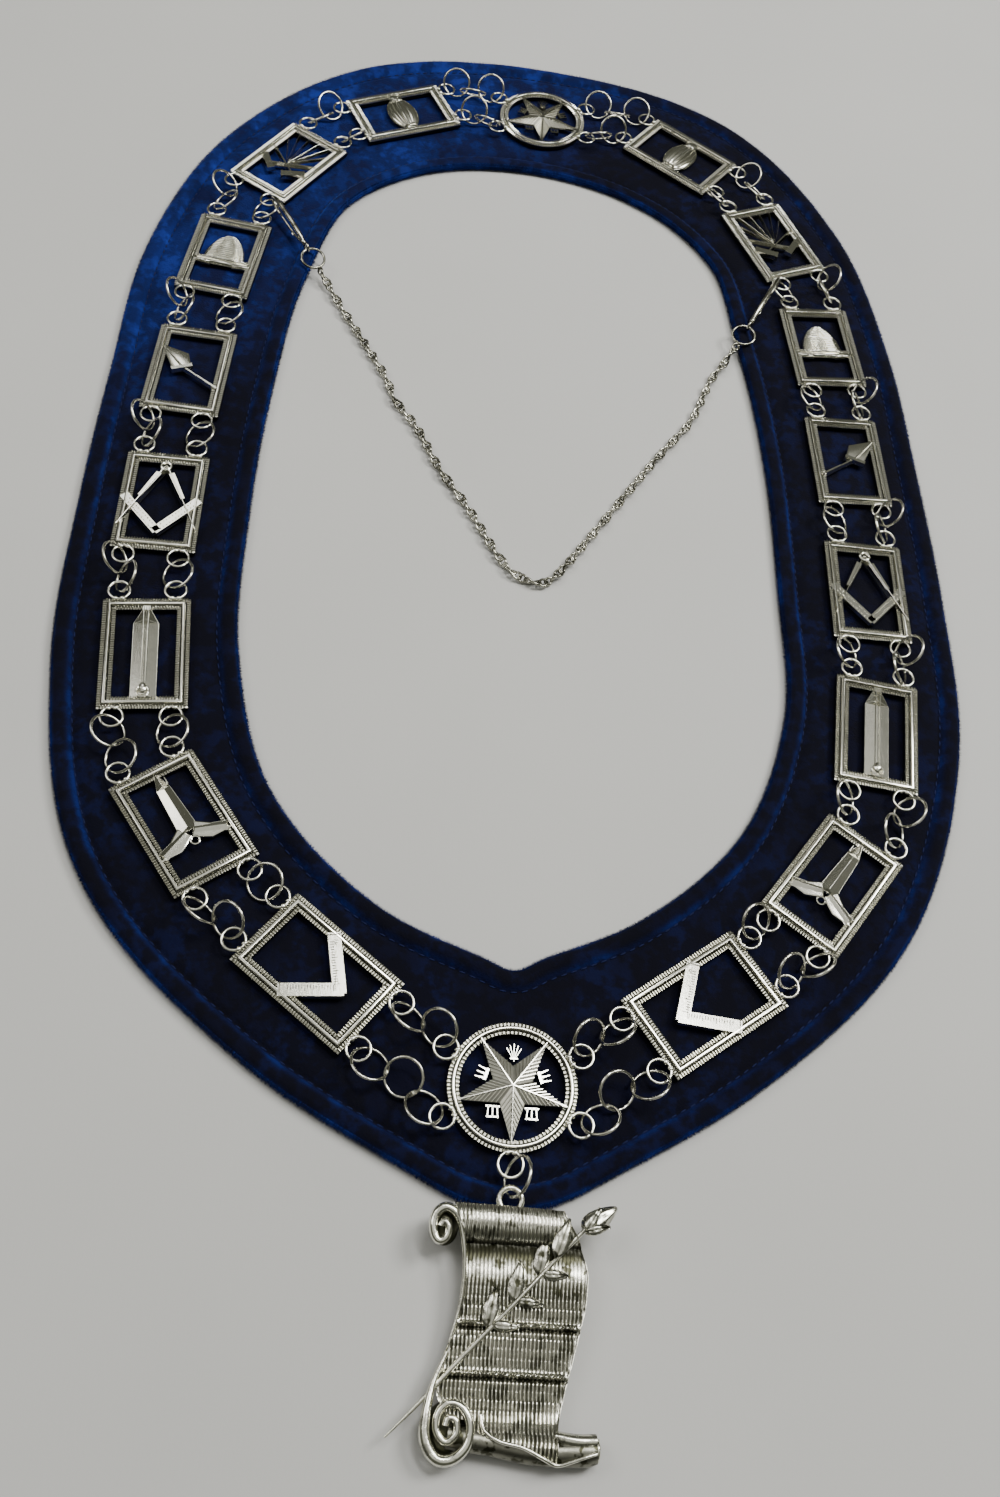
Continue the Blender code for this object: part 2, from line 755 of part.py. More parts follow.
# The scroll's outline as shares of PENDANT_WIDTH and PENDANT_HEIGHT, from the bail's centre
SCROLL_OUTLINE = (
    (-0.36, -0.070),
    (0.40, -0.070),
    (0.52, -0.230),
    (0.535, -0.300),
    (0.48, -0.530),
    (0.40, -0.705),
    (0.36, -0.840),
    (0.36, -0.960),
    (-0.20, -0.960),
    (-0.46, -0.890),
    (-0.45, -0.760),
    (-0.365, -0.620),
    (-0.30, -0.415),
    (-0.28, -0.300),
    (-0.28, -0.170),
)
# The sprig's stem, its bud and its leaves: place and tip as shares of PENDANT_WIDTH and PENDANT_HEIGHT
SPRIG = ((-0.73, -0.95), (-0.54, -0.83), (-0.26, -0.63), (0.05, -0.42), (0.38, -0.19), (0.53, -0.09))
LEAVES = (
    ((0.30, -0.24), (0.39, -0.07)),
    ((0.20, -0.31), (0.25, -0.14)),
    ((0.04, -0.42), (0.08, -0.25)),
    ((-0.12, -0.53), (-0.08, -0.36)),
    ((0.22, -0.30), (0.40, -0.30)),
    ((0.06, -0.41), (0.24, -0.42)),
)


# How far down the top roll lies, as a share of PENDANT_HEIGHT, and its radius, as a share of PENDANT_ROLL
TOP_ROLL_PLACE = -0.097
TOP_ROLL = 0.75


def pendant_point(shares, height=0.0):
    """A place on the scroll. Its top roll lies against the bail, and the rest hangs down from there."""
    roll_drop = BAIL_RADIUS + BAIL_WIRE / 2 + TOP_ROLL * PENDANT_ROLL - BAIL_SINK
    down = (shares[1] - TOP_ROLL_PLACE) * PENDANT_HEIGHT - roll_drop
    return Vector((shares[0] * PENDANT_WIDTH, down, height))


def pendant_matrix():
    """Lays the pendant with its lower roll on the table and its bail above the band's tip."""
    slope = math.radians(PENDANT_SLOPE)
    height = PENDANT_ROLL - pendant_point((0, -0.955)).y * math.sin(slope)
    link = 1.60 * RING_RADIUS + BAIL_HOLD
    place = -MEDALLION_PLACE * CHAIN_HALF - MEDALLION_DIAMETER / 2 - EAR_REACH - link
    return Matrix.Translation((0, place, height)) @ Matrix.Rotation(slope, 4, "X")


def make_pendant():
    half = PENDANT_THICKNESS / 2
    body = plate([[tuple(pendant_point(p)[:2]) for p in SCROLL_OUTLINE]], -half, half)
    bail = ring_mesh(Vector((0, 0, 0)), (1, 0, 0), (0, 1, 0), BAIL_RADIUS, BAIL_WIRE, 12, 6)
    top_ends = [pendant_point((-0.44, -0.091)), pendant_point((0.40, -0.102))]
    top_roll = wire(top_ends, TOP_ROLL * PENDANT_ROLL, 10)
    low_roll = wire([pendant_point((-0.30, -0.955)), pendant_point((0.58, -0.975))], 0.975 * PENDANT_ROLL, 10)
    curl_place = pendant_point((-0.46, -0.155))
    curl_outline = disc(curl_place, 0.095 * PENDANT_WIDTH, 0.095 * PENDANT_HEIGHT, 12)
    curl = plate([curl_outline], -1.6 * half, 3.1 * half)
    spiral_place = pendant_point((-0.31, -0.905))
    spiral_outline = disc(spiral_place, 0.155 * PENDANT_WIDTH, 0.108 * PENDANT_HEIGHT, 14)
    spiral = plate([spiral_outline], -2.1 * half, 3.1 * half)
    stem = wire([pendant_point(p, 1.25 * half) for p in SPRIG], 0.45 * PENDANT_THICKNESS, 6)
    pieces = [body, bail, top_roll, low_roll, curl, spiral, stem]
    for root, tip in LEAVES:
        start = pendant_point(root)
        end = pendant_point(tip)
        middle = (start + end) / 2
        leaf = ball((0, 0, 0), ((end - start).length / 2, 0.035 * PENDANT_WIDTH, 0.75 * half), 6, 4)
        turn = math.atan2(end.y - start.y, end.x - start.x)
        leaf.transform(Matrix.Translation((middle.x, middle.y, 1.3 * half)) @ Matrix.Rotation(turn, 4, "Z"))
        pieces.append(leaf)
    bud = ball((0, 0, 0), (0.13 * PENDANT_WIDTH, 0.055 * PENDANT_WIDTH, 1.6 * half), 8, 5)
    bud_place = pendant_point((0.60, -0.065))
    bud.transform(Matrix.Translation((bud_place.x, bud_place.y, 1.2 * half)) @ Matrix.Rotation(0.55, 4, "Z"))
    pieces.append(bud)
    mesh = united(pieces)
    mesh.transform(pendant_matrix())
    add_object("scroll_pendant", mesh, CAST_SCROLL)


def make_pendant_link():
    start = medallion_hole(-MEDALLION_PLACE, 270)
    end = pendant_matrix() @ Vector((0, BAIL_HOLD, 0))
    poses = ring_poses(start, end, (1, 0, 0), (1.15,), 1.2 * RING_DIP)
    ring_run("pendant_link", poses)


def smooth_route(points, spacing):
    """Points at an even spacing on a smooth curve through the route's own points."""
    dense = []
    places = [np.array(point) for point in points]
    padded = [2 * places[0] - places[1], *places, 2 * places[-1] - places[-2]]
    for index in range(len(places) - 1):
        for step in range(12):
            dense.append(smooth_between(*padded[index : index + 4], step / 12))
    dense.append(places[-1])
    dense = np.array(dense)
    lengths = np.concatenate([[0], np.cumsum(np.linalg.norm(np.diff(dense, axis=0), axis=1))])
    count = max(2, round(lengths[-1] / spacing))
    wanted = np.linspace(0, lengths[-1], count + 1)
    return np.stack([np.interp(wanted, lengths, dense[:, axis]) for axis in range(3)], axis=1)


# The place in the clasp's length where its hook holds the ring
HELD_SHARE = 0.81


def clasp_frame(ring_pose, chain_end):
    """The clasp's own axes: a from its eye to its hook, h up. The hook holds the ring's raised inner side."""
    centre, _, side = ring_pose
    held = Vector(centre + RING_RADIUS * side)
    towards = Vector((held.x - chain_end[0], held.y - chain_end[1], 0)).normalized()
    drop = held.z - ROLL_HEIGHT - CLASP_RISE
    length = HELD_SHARE * CLASP_LENGTH
    slope = math.asin(min(0.4, drop / length))
    a_axis = towards * math.cos(slope) + UP * math.sin(slope)
    b_axis = UP.cross(towards).normalized()
    h_axis = a_axis.cross(b_axis).normalized()
    turn = Matrix((a_axis, b_axis, h_axis)).transposed().to_4x4()
    return Matrix.Translation(held - a_axis * length) @ turn


# The clasp's back bar with its hook, and its lever, in the clasp's own plane: along and up, as shares of
# CLASP_LENGTH and CLASP_RISE
HOOK = (
    (-0.01, 0.0),
    (0.12, 0.55),
    (0.30, 1.0),
    (0.62, 1.05),
    (0.86, 0.95),
    (0.97, 0.45),
    (0.99, -0.15),
    (0.93, -0.75),
    (0.83, -1.0),
    (0.74, -1.0),
)
LEVER = ((0.10, -0.32), (0.24, -0.92), (0.50, -1.0), (0.725, -1.0))


def clasp_points(rows, frame):
    return [frame @ Vector((a * CLASP_LENGTH, 0, h * CLASP_RISE)) for a, h in rows]


def end_ring_places(eye_centre, chain_end):
    """The centre of the ring in a clasp's eye, its two axes, and the point where the chain starts from it."""
    along = (eye_centre - chain_end).normalized()
    near = eye_centre - along * (EYE_RADIUS - (EYE_WIRE + END_RING_WIRE) / 2 + 3 * RING_FUSE)
    centre = near - along * END_RING_RADIUS
    side = UP.cross(along).normalized()
    return centre, along, side, centre - along * END_RING_RADIUS


def make_fine_chain(runs):
    pieces = []
    ends = []
    for half, chain_end in (("left", CHAIN_ROUTE[0]), ("right", CHAIN_ROUTE[-1])):
        frame = clasp_frame(runs[f"rings_{half}_6_7_inner"][0], chain_end)
        axes = frame.to_3x3()
        pieces.append(wire(clasp_points(HOOK, frame), CLASP_WIRE / 2, 6))
        eye_centre = frame @ Vector((-EYE_RADIUS, 0, 0))
        pieces.append(ring_mesh(eye_centre, axes.col[0], axes.col[2], EYE_RADIUS, EYE_WIRE, 8, 5))
        centre, along, side, start = end_ring_places(eye_centre, Vector(chain_end))
        pieces.append(ring_mesh(centre, along, side, END_RING_RADIUS, END_RING_WIRE, 12, 5))
        ends.append(tuple(start))
        pivot = Vector((LEVER[0][0] * CLASP_LENGTH, 0, LEVER[0][1] * CLASP_RISE))
        lever = wire(clasp_points(LEVER, Matrix.Identity(4)), LEVER_WIRE / 2, 6)
        lever.transform(Matrix.Translation(-pivot))
        part = add_object(f"clasp_lever_{half}", lever, BRIGHT_WIRE)
        part.matrix_world = frame @ Matrix.Translation(pivot)
    route = smooth_route([ends[0], *CHAIN_ROUTE[1:-1], ends[1]], 2.9 * CHAIN_WIDTH)
    pieces.append(wire([tuple(point) for point in route], CHAIN_WIDTH / 2, 8))
    add_object("fine_chain", united(pieces), BRIGHT_WIRE)


def centre_origin():
    """Moves the whole collar so that the origin is under the middle of its box, on the table."""
    bpy.context.view_layer.update()
    corners = []
    for obj in PARTS.objects:
        world = obj.matrix_world
        corners.extend(world @ vertex.co for vertex in obj.data.vertices)
    low = Vector([min(corner[axis] for corner in corners) for axis in range(3)])
    high = Vector([max(corner[axis] for corner in corners) for axis in range(3)])
    shift = Vector((-(low.x + high.x) / 2, -(low.y + high.y) / 2, -low.z))
    for obj in PARTS.objects:
        obj.matrix_world = Matrix.Translation(shift) @ obj.matrix_world


make_velvet()
make_plaques()
RUNS = make_ring_runs()
make_pendant()
make_pendant_link()
make_fine_chain(RUNS)
centre_origin()
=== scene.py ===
import math

import bpy
import numpy as np
from mathutils import Matrix, Vector


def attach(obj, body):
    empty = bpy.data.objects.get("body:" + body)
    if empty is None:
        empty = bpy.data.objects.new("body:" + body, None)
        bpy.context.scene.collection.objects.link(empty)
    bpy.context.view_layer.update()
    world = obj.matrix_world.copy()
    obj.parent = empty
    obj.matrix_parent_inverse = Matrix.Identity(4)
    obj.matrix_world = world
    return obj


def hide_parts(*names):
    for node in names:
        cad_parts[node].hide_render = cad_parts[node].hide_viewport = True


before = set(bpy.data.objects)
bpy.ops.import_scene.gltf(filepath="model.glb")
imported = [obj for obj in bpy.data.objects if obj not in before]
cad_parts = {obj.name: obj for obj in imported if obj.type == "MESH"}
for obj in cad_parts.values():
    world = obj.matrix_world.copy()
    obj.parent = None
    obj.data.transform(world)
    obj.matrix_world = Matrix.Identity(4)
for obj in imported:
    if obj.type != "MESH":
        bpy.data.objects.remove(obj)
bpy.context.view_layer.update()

# The collar lies flat on a table, and the camera looks down on it from the pendant's end, turned a little
# anticlockwise. Places are measured from the point midway between the two medallions, on the table.
MM = 0.001


def underside(node):
    """The corners of a casting's flat underside, without doubles."""
    points = np.array([vertex.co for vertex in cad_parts[node].data.vertices])
    lowest = points[points[:, 2] < points[:, 2].min() + 0.01 * MM]
    return np.unique(lowest.round(6), axis=0)


def medallion_centre(node):
    return Vector(underside(node).mean(axis=0))


BOTTOM_CENTRE = medallion_centre("medallion_bottom")
TOP_CENTRE = medallion_centre("medallion_top")
MIDPOINT = Vector(((BOTTOM_CENTRE.x + TOP_CENTRE.x) / 2, (BOTTOM_CENTRE.y + TOP_CENTRE.y) / 2, 0))
CAMERA_PLACE = Vector((-42.2 * MM, -310.8 * MM, 362.9 * MM))
CAMERA_ELEVATION = math.radians(59.20)
CAMERA_AZIMUTH = math.radians(9.49)
CAMERA_ROLL = math.radians(13.32)
SENSOR_WIDTH = 36.0
LENS = 49.44


def set_camera():
    level = Vector((math.sin(CAMERA_AZIMUTH), math.cos(CAMERA_AZIMUTH), 0))
    up = Vector((0, 0, 1))
    forward = level * math.cos(CAMERA_ELEVATION) - up * math.sin(CAMERA_ELEVATION)
    flat_right = Vector((level.y, -level.x, 0))
    flat_up = level * math.sin(CAMERA_ELEVATION) + up * math.cos(CAMERA_ELEVATION)
    right = flat_right * math.cos(CAMERA_ROLL) + flat_up * math.sin(CAMERA_ROLL)
    top = flat_up * math.cos(CAMERA_ROLL) - flat_right * math.sin(CAMERA_ROLL)
    data = bpy.data.cameras.new("collar_view")
    data.sensor_fit = "HORIZONTAL"
    data.sensor_width = SENSOR_WIDTH
    data.lens = LENS
    data.clip_start = 10 * MM
    camera = bpy.data.objects.new("collar_view", data)
    bpy.context.scene.collection.objects.link(camera)
    turn = Matrix((right, top, -forward)).transposed().to_4x4()
    camera.matrix_world = Matrix.Translation(MIDPOINT + CAMERA_PLACE) @ turn
    bpy.context.scene.camera = camera


set_camera()


# Padded velvet band: two layers of crushed royal blue velvet with wadding between them, bagged out so that
# both edges are rolled, and topstitched once round each edge. Its outline follows the chain over it.
EMBLEMS = ("square", "level", "plumb", "compasses", "trowel", "beehive", "gavels", "globe")
FIELD_HEIGHT = 2.6 * MM
# Width of the band outside and inside each casting of the chain, in mm, from the bottom to the top
BAND_LEFT = (
    (31.0, 26.5),
    (32.0, 27.0),
    (28.0, 28.0),
    (26.6, 28.4),
    (27.0, 29.0),
    (29.0, 30.5),
    (29.5, 30.0),
    (34.0, 33.0),
)
BAND_RIGHT = (
    (27.5, 30.0),
    (27.5, 30.0),
    (28.0, 28.8),
    (27.4, 30.0),
    (26.5, 30.0),
    (27.0, 32.0),
    (30.0, 29.0),
    (34.0, 35.0),
)
BAND_BOTTOM = (32.5, 31.8)
BAND_TOP = (36.0, 30.5)
# Inset from the band's edge and height of its upper face, in mm: edge, roll, stitched channel, field
BAND_PROFILE = (
    (0.00, 1.70),
    (0.15, 2.60),
    (0.60, 3.35),
    (1.40, 3.95),
    (2.60, 4.15),
    (3.90, 3.90),
    (5.00, 3.30),
    (5.90, 2.40),
    (6.40, 1.85),
    (6.90, 1.95),
    (7.80, 2.40),
    (9.50, 2.62),
    (13.0, 2.68),
    (18.0, 2.70),
)
STATIONS_PER_CASTING = 20


def node_of(half, number):
    return f"plaque_{half}_{number}_{EMBLEMS[number - 1]}"


def seat_of(node, towards):
    """A plaque's centre on its underside, and its axis u along the chain towards the top medallion."""
    points = underside(node)
    middle = points.mean(axis=0)
    order = np.argsort(np.linalg.norm(points - middle, axis=1))
    corners = [Vector(points[index]) for index in order[-4:]]
    centre = sum(corners, Vector()) / 4
    sides = sorted(corners[1:], key=lambda corner: (corner - corners[0]).length)
    u = (sides[1] - corners[0]).normalized()
    return centre, (u if u.dot(towards) > 0 else -u)


def seats_of(half):
    centres = [seat_of(node_of(half, number), Vector((0, 1, 0)))[0] for number in range(1, 9)]
    line = [BOTTOM_CENTRE, *centres, TOP_CENTRE]
    return [seat_of(node_of(half, number), line[number + 1] - line[number - 1]) for number in range(1, 9)]


SEATS = {half: seats_of(half) for half in ("left", "right")}


def casting_rows(half, widths):
    return [(*seat[0][:2], outer * MM, inner * MM) for seat, (outer, inner) in zip(SEATS[half], widths)]


def band_rows():
    """Centres of the castings in order round the loop, each with the band's outer and inner width."""
    left = casting_rows("left", BAND_LEFT)
    right = casting_rows("right", BAND_RIGHT)
    bottom = (*BOTTOM_CENTRE[:2], *(width * MM for width in BAND_BOTTOM))
    top = (*TOP_CENTRE[:2], *(width * MM for width in BAND_TOP))
    return [np.array(row) for row in (bottom, *left, top, *reversed(right))]


def smooth_between(before, first, second, after, share):
    """A point of the smooth curve from the first row to the second."""
    return 0.5 * (
        2 * first
        + (second - before) * share
        + (2 * before - 5 * first + 4 * second - after) * share**2
        + (3 * first - before - 3 * second + after) * share**3
    )


def band_stations():
    """The band's centre line, widths and outward directions: a point at the bottom, smooth elsewhere."""
    rows = band_rows()
    count = len(rows)
    stations = []
    for index in range(count):
        first = rows[index]
        second = rows[(index + 1) % count]
        before = rows[index - 1] if index else 2 * first - second
        after = rows[(index + 2) % count] if index < count - 1 else 2 * second - first
        for step in range(STATIONS_PER_CASTING):
            share = step / STATIONS_PER_CASTING
            stations.append(smooth_between(before, first, second, after, share))
    stations = np.array(stations)
    ahead = np.roll(stations[:, :2], -1, axis=0) - np.roll(stations[:, :2], 1, axis=0)
    ahead /= np.linalg.norm(ahead, axis=1)[:, None]
    outward = np.stack([-ahead[:, 1], ahead[:, 0]], axis=1)
    outward[0] = (0, -1)
    for _ in range(2):
        outward[1:] = (np.roll(outward, 1, axis=0) + 2 * outward + np.roll(outward, -1, axis=0))[1:] / 4
    outward /= np.linalg.norm(outward, axis=1)[:, None]
    return stations, outward


def band_profile(width):
    """Insets and heights of the upper face from the outer edge inwards, then of the flat underside."""
    insets = [inset * MM for inset, _ in BAND_PROFILE]
    heights = [height * MM for _, height in BAND_PROFILE]
    across = [*insets, width / 2, *(width - inset for inset in reversed(insets))]
    up = [*heights, heights[-1], *reversed(heights)]
    under = (0.35, 1.5, 8.0)
    across += [width - inset * MM for inset in under] + [inset * MM for inset in reversed(under)]
    up += [0.8 * MM, 0.0, 0.0, 0.0, 0.0, 0.8 * MM]
    return across, up


def band_edges():
    """The band's outer and inner edge. The inner one is rounded off where the sides meet at the bottom."""
    stations, outward = band_stations()
    outer = stations[:, :2] + outward * stations[:, 2:3]
    inner = stations[:, :2] - outward * stations[:, 3:4]
    count = len(stations)
    for side in (1, -1):
        clear = next(step for step in range(1, 12) if side * (MIDPOINT.x - inner[side * step, 0]) > 6 * MM)
        for step in range(1, clear):
            inner[side * step] = inner[0] + (inner[side * clear] - inner[0]) * step / clear
    away = np.minimum(np.arange(count), count - np.arange(count))
    ease = np.clip(1 - away / 9, 0, 1)[:, None]
    for _ in range(25):
        even = (np.roll(inner, 1, axis=0) + np.roll(inner, -1, axis=0)) / 2
        inner = inner + 0.5 * ease * (even - inner)
    return outer, inner


BAND_OUTER, BAND_INNER = band_edges()


def make_band():
    points = []
    for outer, inner in zip(BAND_OUTER, BAND_INNER):
        width = np.linalg.norm(inner - outer)
        across, up = band_profile(width)
        for inset, height in zip(across, up):
            place = outer + (inner - outer) * inset / width
            points.append((place[0], place[1], height))
    around = len(across)
    count = len(BAND_OUTER)
    faces = []
    for station in range(count):
        following = (station + 1) % count
        for step in range(around):
            after = (step + 1) % around
            faces.append(
                (
                    station * around + step,
                    station * around + after,
                    following * around + after,
                    following * around + step,
                )
            )
    mesh = bpy.data.meshes.new("velvet_band")
    mesh.from_pydata(points, [], faces)
    band = bpy.data.objects.new("velvet_band", mesh)
    bpy.context.scene.collection.objects.link(band)
    return band


def select_only(*pieces):
    bpy.ops.object.select_all(action="DESELECT")
    for piece in pieces:
        piece.select_set(True)
    bpy.context.view_layer.objects.active = pieces[0]


def apply_modifier(piece, kind, **settings):
    """Adds a modifier with its settings, under its own kind's name, and applies it."""
    select_only(piece)
    made = piece.modifiers.new(kind.lower(), kind)
    for name, value in settings.items():
        setattr(made, name, value)
    bpy.ops.object.modifier_apply(modifier=made.name)


def turned_out(piece):
    """Merges doubles and turns every face outwards."""
    select_only(piece)
    bpy.ops.object.mode_set(mode="EDIT")
    bpy.ops.mesh.select_all(action="SELECT")
    bpy.ops.mesh.remove_doubles(threshold=0.002 * MM)
    bpy.ops.mesh.normals_make_consistent(inside=False)
    bpy.ops.object.mode_set(mode="OBJECT")
    return piece


def open_piece(piece, chosen=None):
    """Opens a piece in edit mode with the faces that pass the test selected, or all of them."""
    select_only(piece)
    bpy.ops.object.mode_set(mode="EDIT")
    bpy.ops.mesh.select_mode(type="FACE")
    bpy.ops.mesh.select_all(action="DESELECT" if chosen else "SELECT")
    if chosen:
        bpy.ops.object.mode_set(mode="OBJECT")
        for polygon in piece.data.polygons:
            polygon.select = chosen(polygon)
        bpy.ops.object.mode_set(mode="EDIT")


def close_piece():
    bpy.ops.object.mode_set(mode="OBJECT")


def primitive(kind, name, **settings):
    """Adds a primitive and places it in its own mesh, with nothing else selected."""
    bpy.ops.object.select_all(action="DESELECT")
    getattr(bpy.ops.mesh, f"primitive_{kind}_add")(**settings)
    piece = bpy.context.object
    piece.name = name
    bpy.ops.object.transform_apply(location=True, rotation=True, scale=True)
    return piece


def put(piece, matrix):
    """Moves a piece in its own mesh."""
    piece.data.transform(matrix)
    if matrix.is_negative:
        piece.data.flip_normals()
    return piece


def copy_of(piece, matrix=Matrix.Identity(4)):
    """A copy with a mesh of its own, moved in that mesh."""
    made = piece.copy()
    made.data = piece.data.copy()
    bpy.context.scene.collection.objects.link(made)
    return put(made, matrix)


def joined(name, pieces):
    """One piece from several."""
    select_only(*pieces)
    if len(pieces) > 1:
        bpy.ops.object.join()
    made = bpy.context.object
    made.name = name
    made.data.name = name
    return made


def discard(*pieces):
    for piece in pieces:
        bpy.data.objects.remove(piece, do_unlink=True)


def shaded(piece, angle):
    """Smooth shading with crisp edges wherever two faces meet at more than the angle."""
    piece.data.shade_smooth()
    piece.data.set_sharp_from_angle(angle=math.radians(angle))
    return piece


def shade_and_dark_marks(piece, amount):
    """Marks how dark each vertex is painted, from 0 where the plate is bright to 1: painted shade in
    recesses, gaps and hollows, and dark marks such as rule lines.
    """
    layer = piece.data.attributes.new("shade_and_dark_marks", "FLOAT", "POINT")
    layer.data.foreach_set("value", np.full(len(piece.data.vertices), amount, dtype=np.float32))
    return piece


def ripple(points):
    """Slow unevenness of the wadding, from -1 to 1, from waves that run in unlike directions."""
    x, y = points[:, 0], points[:, 1]
    waves = ((190, 60, 0.4), (-70, 230, 1.3), (310, -270, 2.1), (120, 410, 0.2), (-480, 150, 2.9))
    return sum(np.sin(a * x + b * y + phase) for a, b, phase in waves) / len(waves)


def settle_wadding(band):
    """The rolls are fuller here and thinner there and the edge wanders; nothing rises into the chain."""
    mesh = band.data
    points = np.array([vertex.co for vertex in mesh.vertices])
    wave = ripple(points)
    rise = np.clip((points[:, 2] - FIELD_HEIGHT) / (1.6 * MM), 0, 1)
    points[:, 2] += rise * 0.45 * MM * (wave - 0.3)
    dip = (points[:, 2] > 1.9 * MM) & (rise <= 0)
    points[dip, 2] += 0.12 * MM * (wave[dip] - 1)
    mesh.vertices.foreach_set("co", points.ravel())
    mesh.update()


class Field:
    """A value that varies over a surface: one socket, with the arithmetic that the materials use."""

    def __init__(self, look, socket):
        self.look = look
        self.socket = socket

    def combine(self, operation, first, second):
        return self.look.node("Math", {"operation": operation}, {0: first, 1: second})

    def __add__(self, other):
        return self.combine("ADD", self, other)

    __radd__ = __add__

    def __sub__(self, other):
        return self.combine("SUBTRACT", self, other)

    def __rsub__(self, other):
        return self.combine("SUBTRACT", other, self)

    def __mul__(self, other):
        return self.combine("MULTIPLY", self, other)


class Look:
    """A material of the collar: its node tree and its surface."""

    def __init__(self, name, constants):
        self.material = bpy.data.materials.new(name)
        self.material.use_nodes = True
        self.tree = self.material.node_tree
        self.surface = self.tree.nodes["Principled BSDF"]
        for socket, value in constants.items():
            self.surface.inputs[socket].default_value = value

    def node(self, kind, settings=None, inputs=None, output=0):
        """Adds a node: its settings first, then its sockets' values or links. Returns one of its outputs."""
        made = self.tree.nodes.new("ShaderNode" + kind)
        for name, value in (settings or {}).items():
            setattr(made, name, value)
        for name, value in (inputs or {}).items():
            self.feed(made.inputs[name], value)
        return Field(self, made.outputs[output])

    def feed(self, socket, value):
        if isinstance(value, Field):
            self.tree.links.new(value.socket, socket)
        else:
            socket.default_value = value

    def place(self, scale=(1, 1, 1), turn=0.0):
        """The piece's own coordinates in metres, stretched and turned about the vertical."""
        coordinates = self.node("TexCoord", output="Object")
        return self.node("Mapping", {}, {"Vector": coordinates, "Scale": scale, "Rotation": (0, 0, turn)})

    def noise(self, size, detail=3.0, scale=(1, 1, 1), turn=0.0):
        """Cloudy noise whose patches are about the given size across, from 0 to 1."""
        place = self.place(scale, turn)
        inputs = {"Vector": place, "Scale": 0.5 / size, "Detail": detail, "Roughness": 0.55}
        return self.node("TexNoise", {}, inputs)

    def band(self, value, low, high):
        """0 below the low value, 1 above the high one and smooth between."""
        settings = {"interpolation_type": "SMOOTHSTEP"}
        return self.node("MapRange", settings, {"Value": value, "From Min": low, "From Max": high})

    def mix(self, share, first, second):
        """A colour between two colours."""
        first = first if isinstance(first, Field) else (*first, 1)
        second = second if isinstance(second, Field) else (*second, 1)
        return self.node("Mix", {"data_type": "RGBA"}, {0: share, 6: first, 7: second}, output=2)

    def set(self, name, value):
        self.feed(self.surface.inputs[name], value)

    def bump(self, height, depth, strength=1.0):
        """Raises the surface by up to the depth where the height is 1."""
        inputs = {"Height": height, "Distance": depth, "Strength": strength}
        self.set("Normal", self.node("Bump", {}, inputs))


VELVET_SHADE = (0.0006, 0.0007, 0.0048)
VELVET_BODY = (0.0013, 0.0020, 0.0150)
# The third colour is painted sheen: the royal blue that light catching the pile gives.
VELVET_SHEEN = (0.0120, 0.0370, 0.3000)


def velvet_look():
    """Pile that is nearly black where it stands up, with painted sheen in royal blue where it lies flat,
    where it rolls over and on the rolls that face right.
    """
    look = Look(
        "blue_velvet",
        {
            "Roughness": 0.9,
            "Specular IOR Level": 0.15,
            "Sheen Weight": 0.22,
            "Sheen Roughness": 0.28,
            "Sheen Tint": (0.10, 0.24, 1.0, 1),
        },
    )
    crush = look.band(look.noise(8 * MM, 4, (1.0, 0.55, 1), 0.5), 0.40, 0.62)
    fine_crush = look.band(look.noise(2.4 * MM, 3), 0.42, 0.62)
    pile = look.noise(0.35 * MM, 2)
    normal = look.node("NewGeometry", output="Normal")
    facing = look.node("SeparateXYZ", {}, {0: normal}, output="Z")
    # Painted sheen on the rolled edges: the further a face tilts from upright, the bluer its base colour.
    rolled = 1 - look.band(facing, 0.45, 0.98)
    place = look.node("TexCoord", output="Object")
    across = look.node("SeparateXYZ", {}, {0: place}, output="X")
    along = look.node("SeparateXYZ", {}, {0: place}, output="Y")
    # Painted sheen where the pile lies flat, towards the upper left of the band.
    brushed_sheen = look.band(along * 0.9 - across, 0.15, 0.26)
    # Painted light on the rolls that face right, towards the high lamp.
    lit = rolled * look.band(look.node("SeparateXYZ", {}, {0: normal}, output="X"), 0.05, 0.7)
    # bright is the share of painted sheen in the base colour, mottled by the crush marks.
    bright = rolled * (0.22 + crush * 0.30) + lit * 0.22
    bright = bright + brushed_sheen * (0.28 + crush * 0.34) + crush * fine_crush * 0.05
    body = look.mix(fine_crush * 0.6 + crush * 0.2, VELVET_SHADE, VELVET_BODY)
    colour_with_sheen = look.mix(bright * (0.50 + fine_crush * 0.50), body, VELVET_SHEEN)
    look.set("Base Color", look.mix(pile * 0.35, colour_with_sheen, VELVET_SHADE))
    look.bump(pile * 0.7 + look.noise(1.1 * MM, 2) * 0.6, 0.28 * MM, 0.9)
    return look.material


VELVET = velvet_look()


def dress(piece, material, body, nodes=()):
    """Gives a finished piece its material, the body that it rides on and the nodes that it stands for."""
    piece.data.materials.clear()
    piece.data.materials.append(material)
    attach(piece, body)
    if nodes:
        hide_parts(*nodes)
    return piece


velvet_band = turned_out(make_band())
settle_wadding(velvet_band)
apply_modifier(velvet_band, "SUBSURF", levels=1, render_levels=1)
velvet_band.data.shade_smooth()
dress(velvet_band, VELVET, "collar", ["velvet_collar"])


# Topstitching: royal blue thread, one row sunk in the channel beside each rolled edge.
STITCH_INSET = 6.4 * MM
STITCH_PITCH = 3.1 * MM
STITCH_HEIGHT = 1.95 * MM


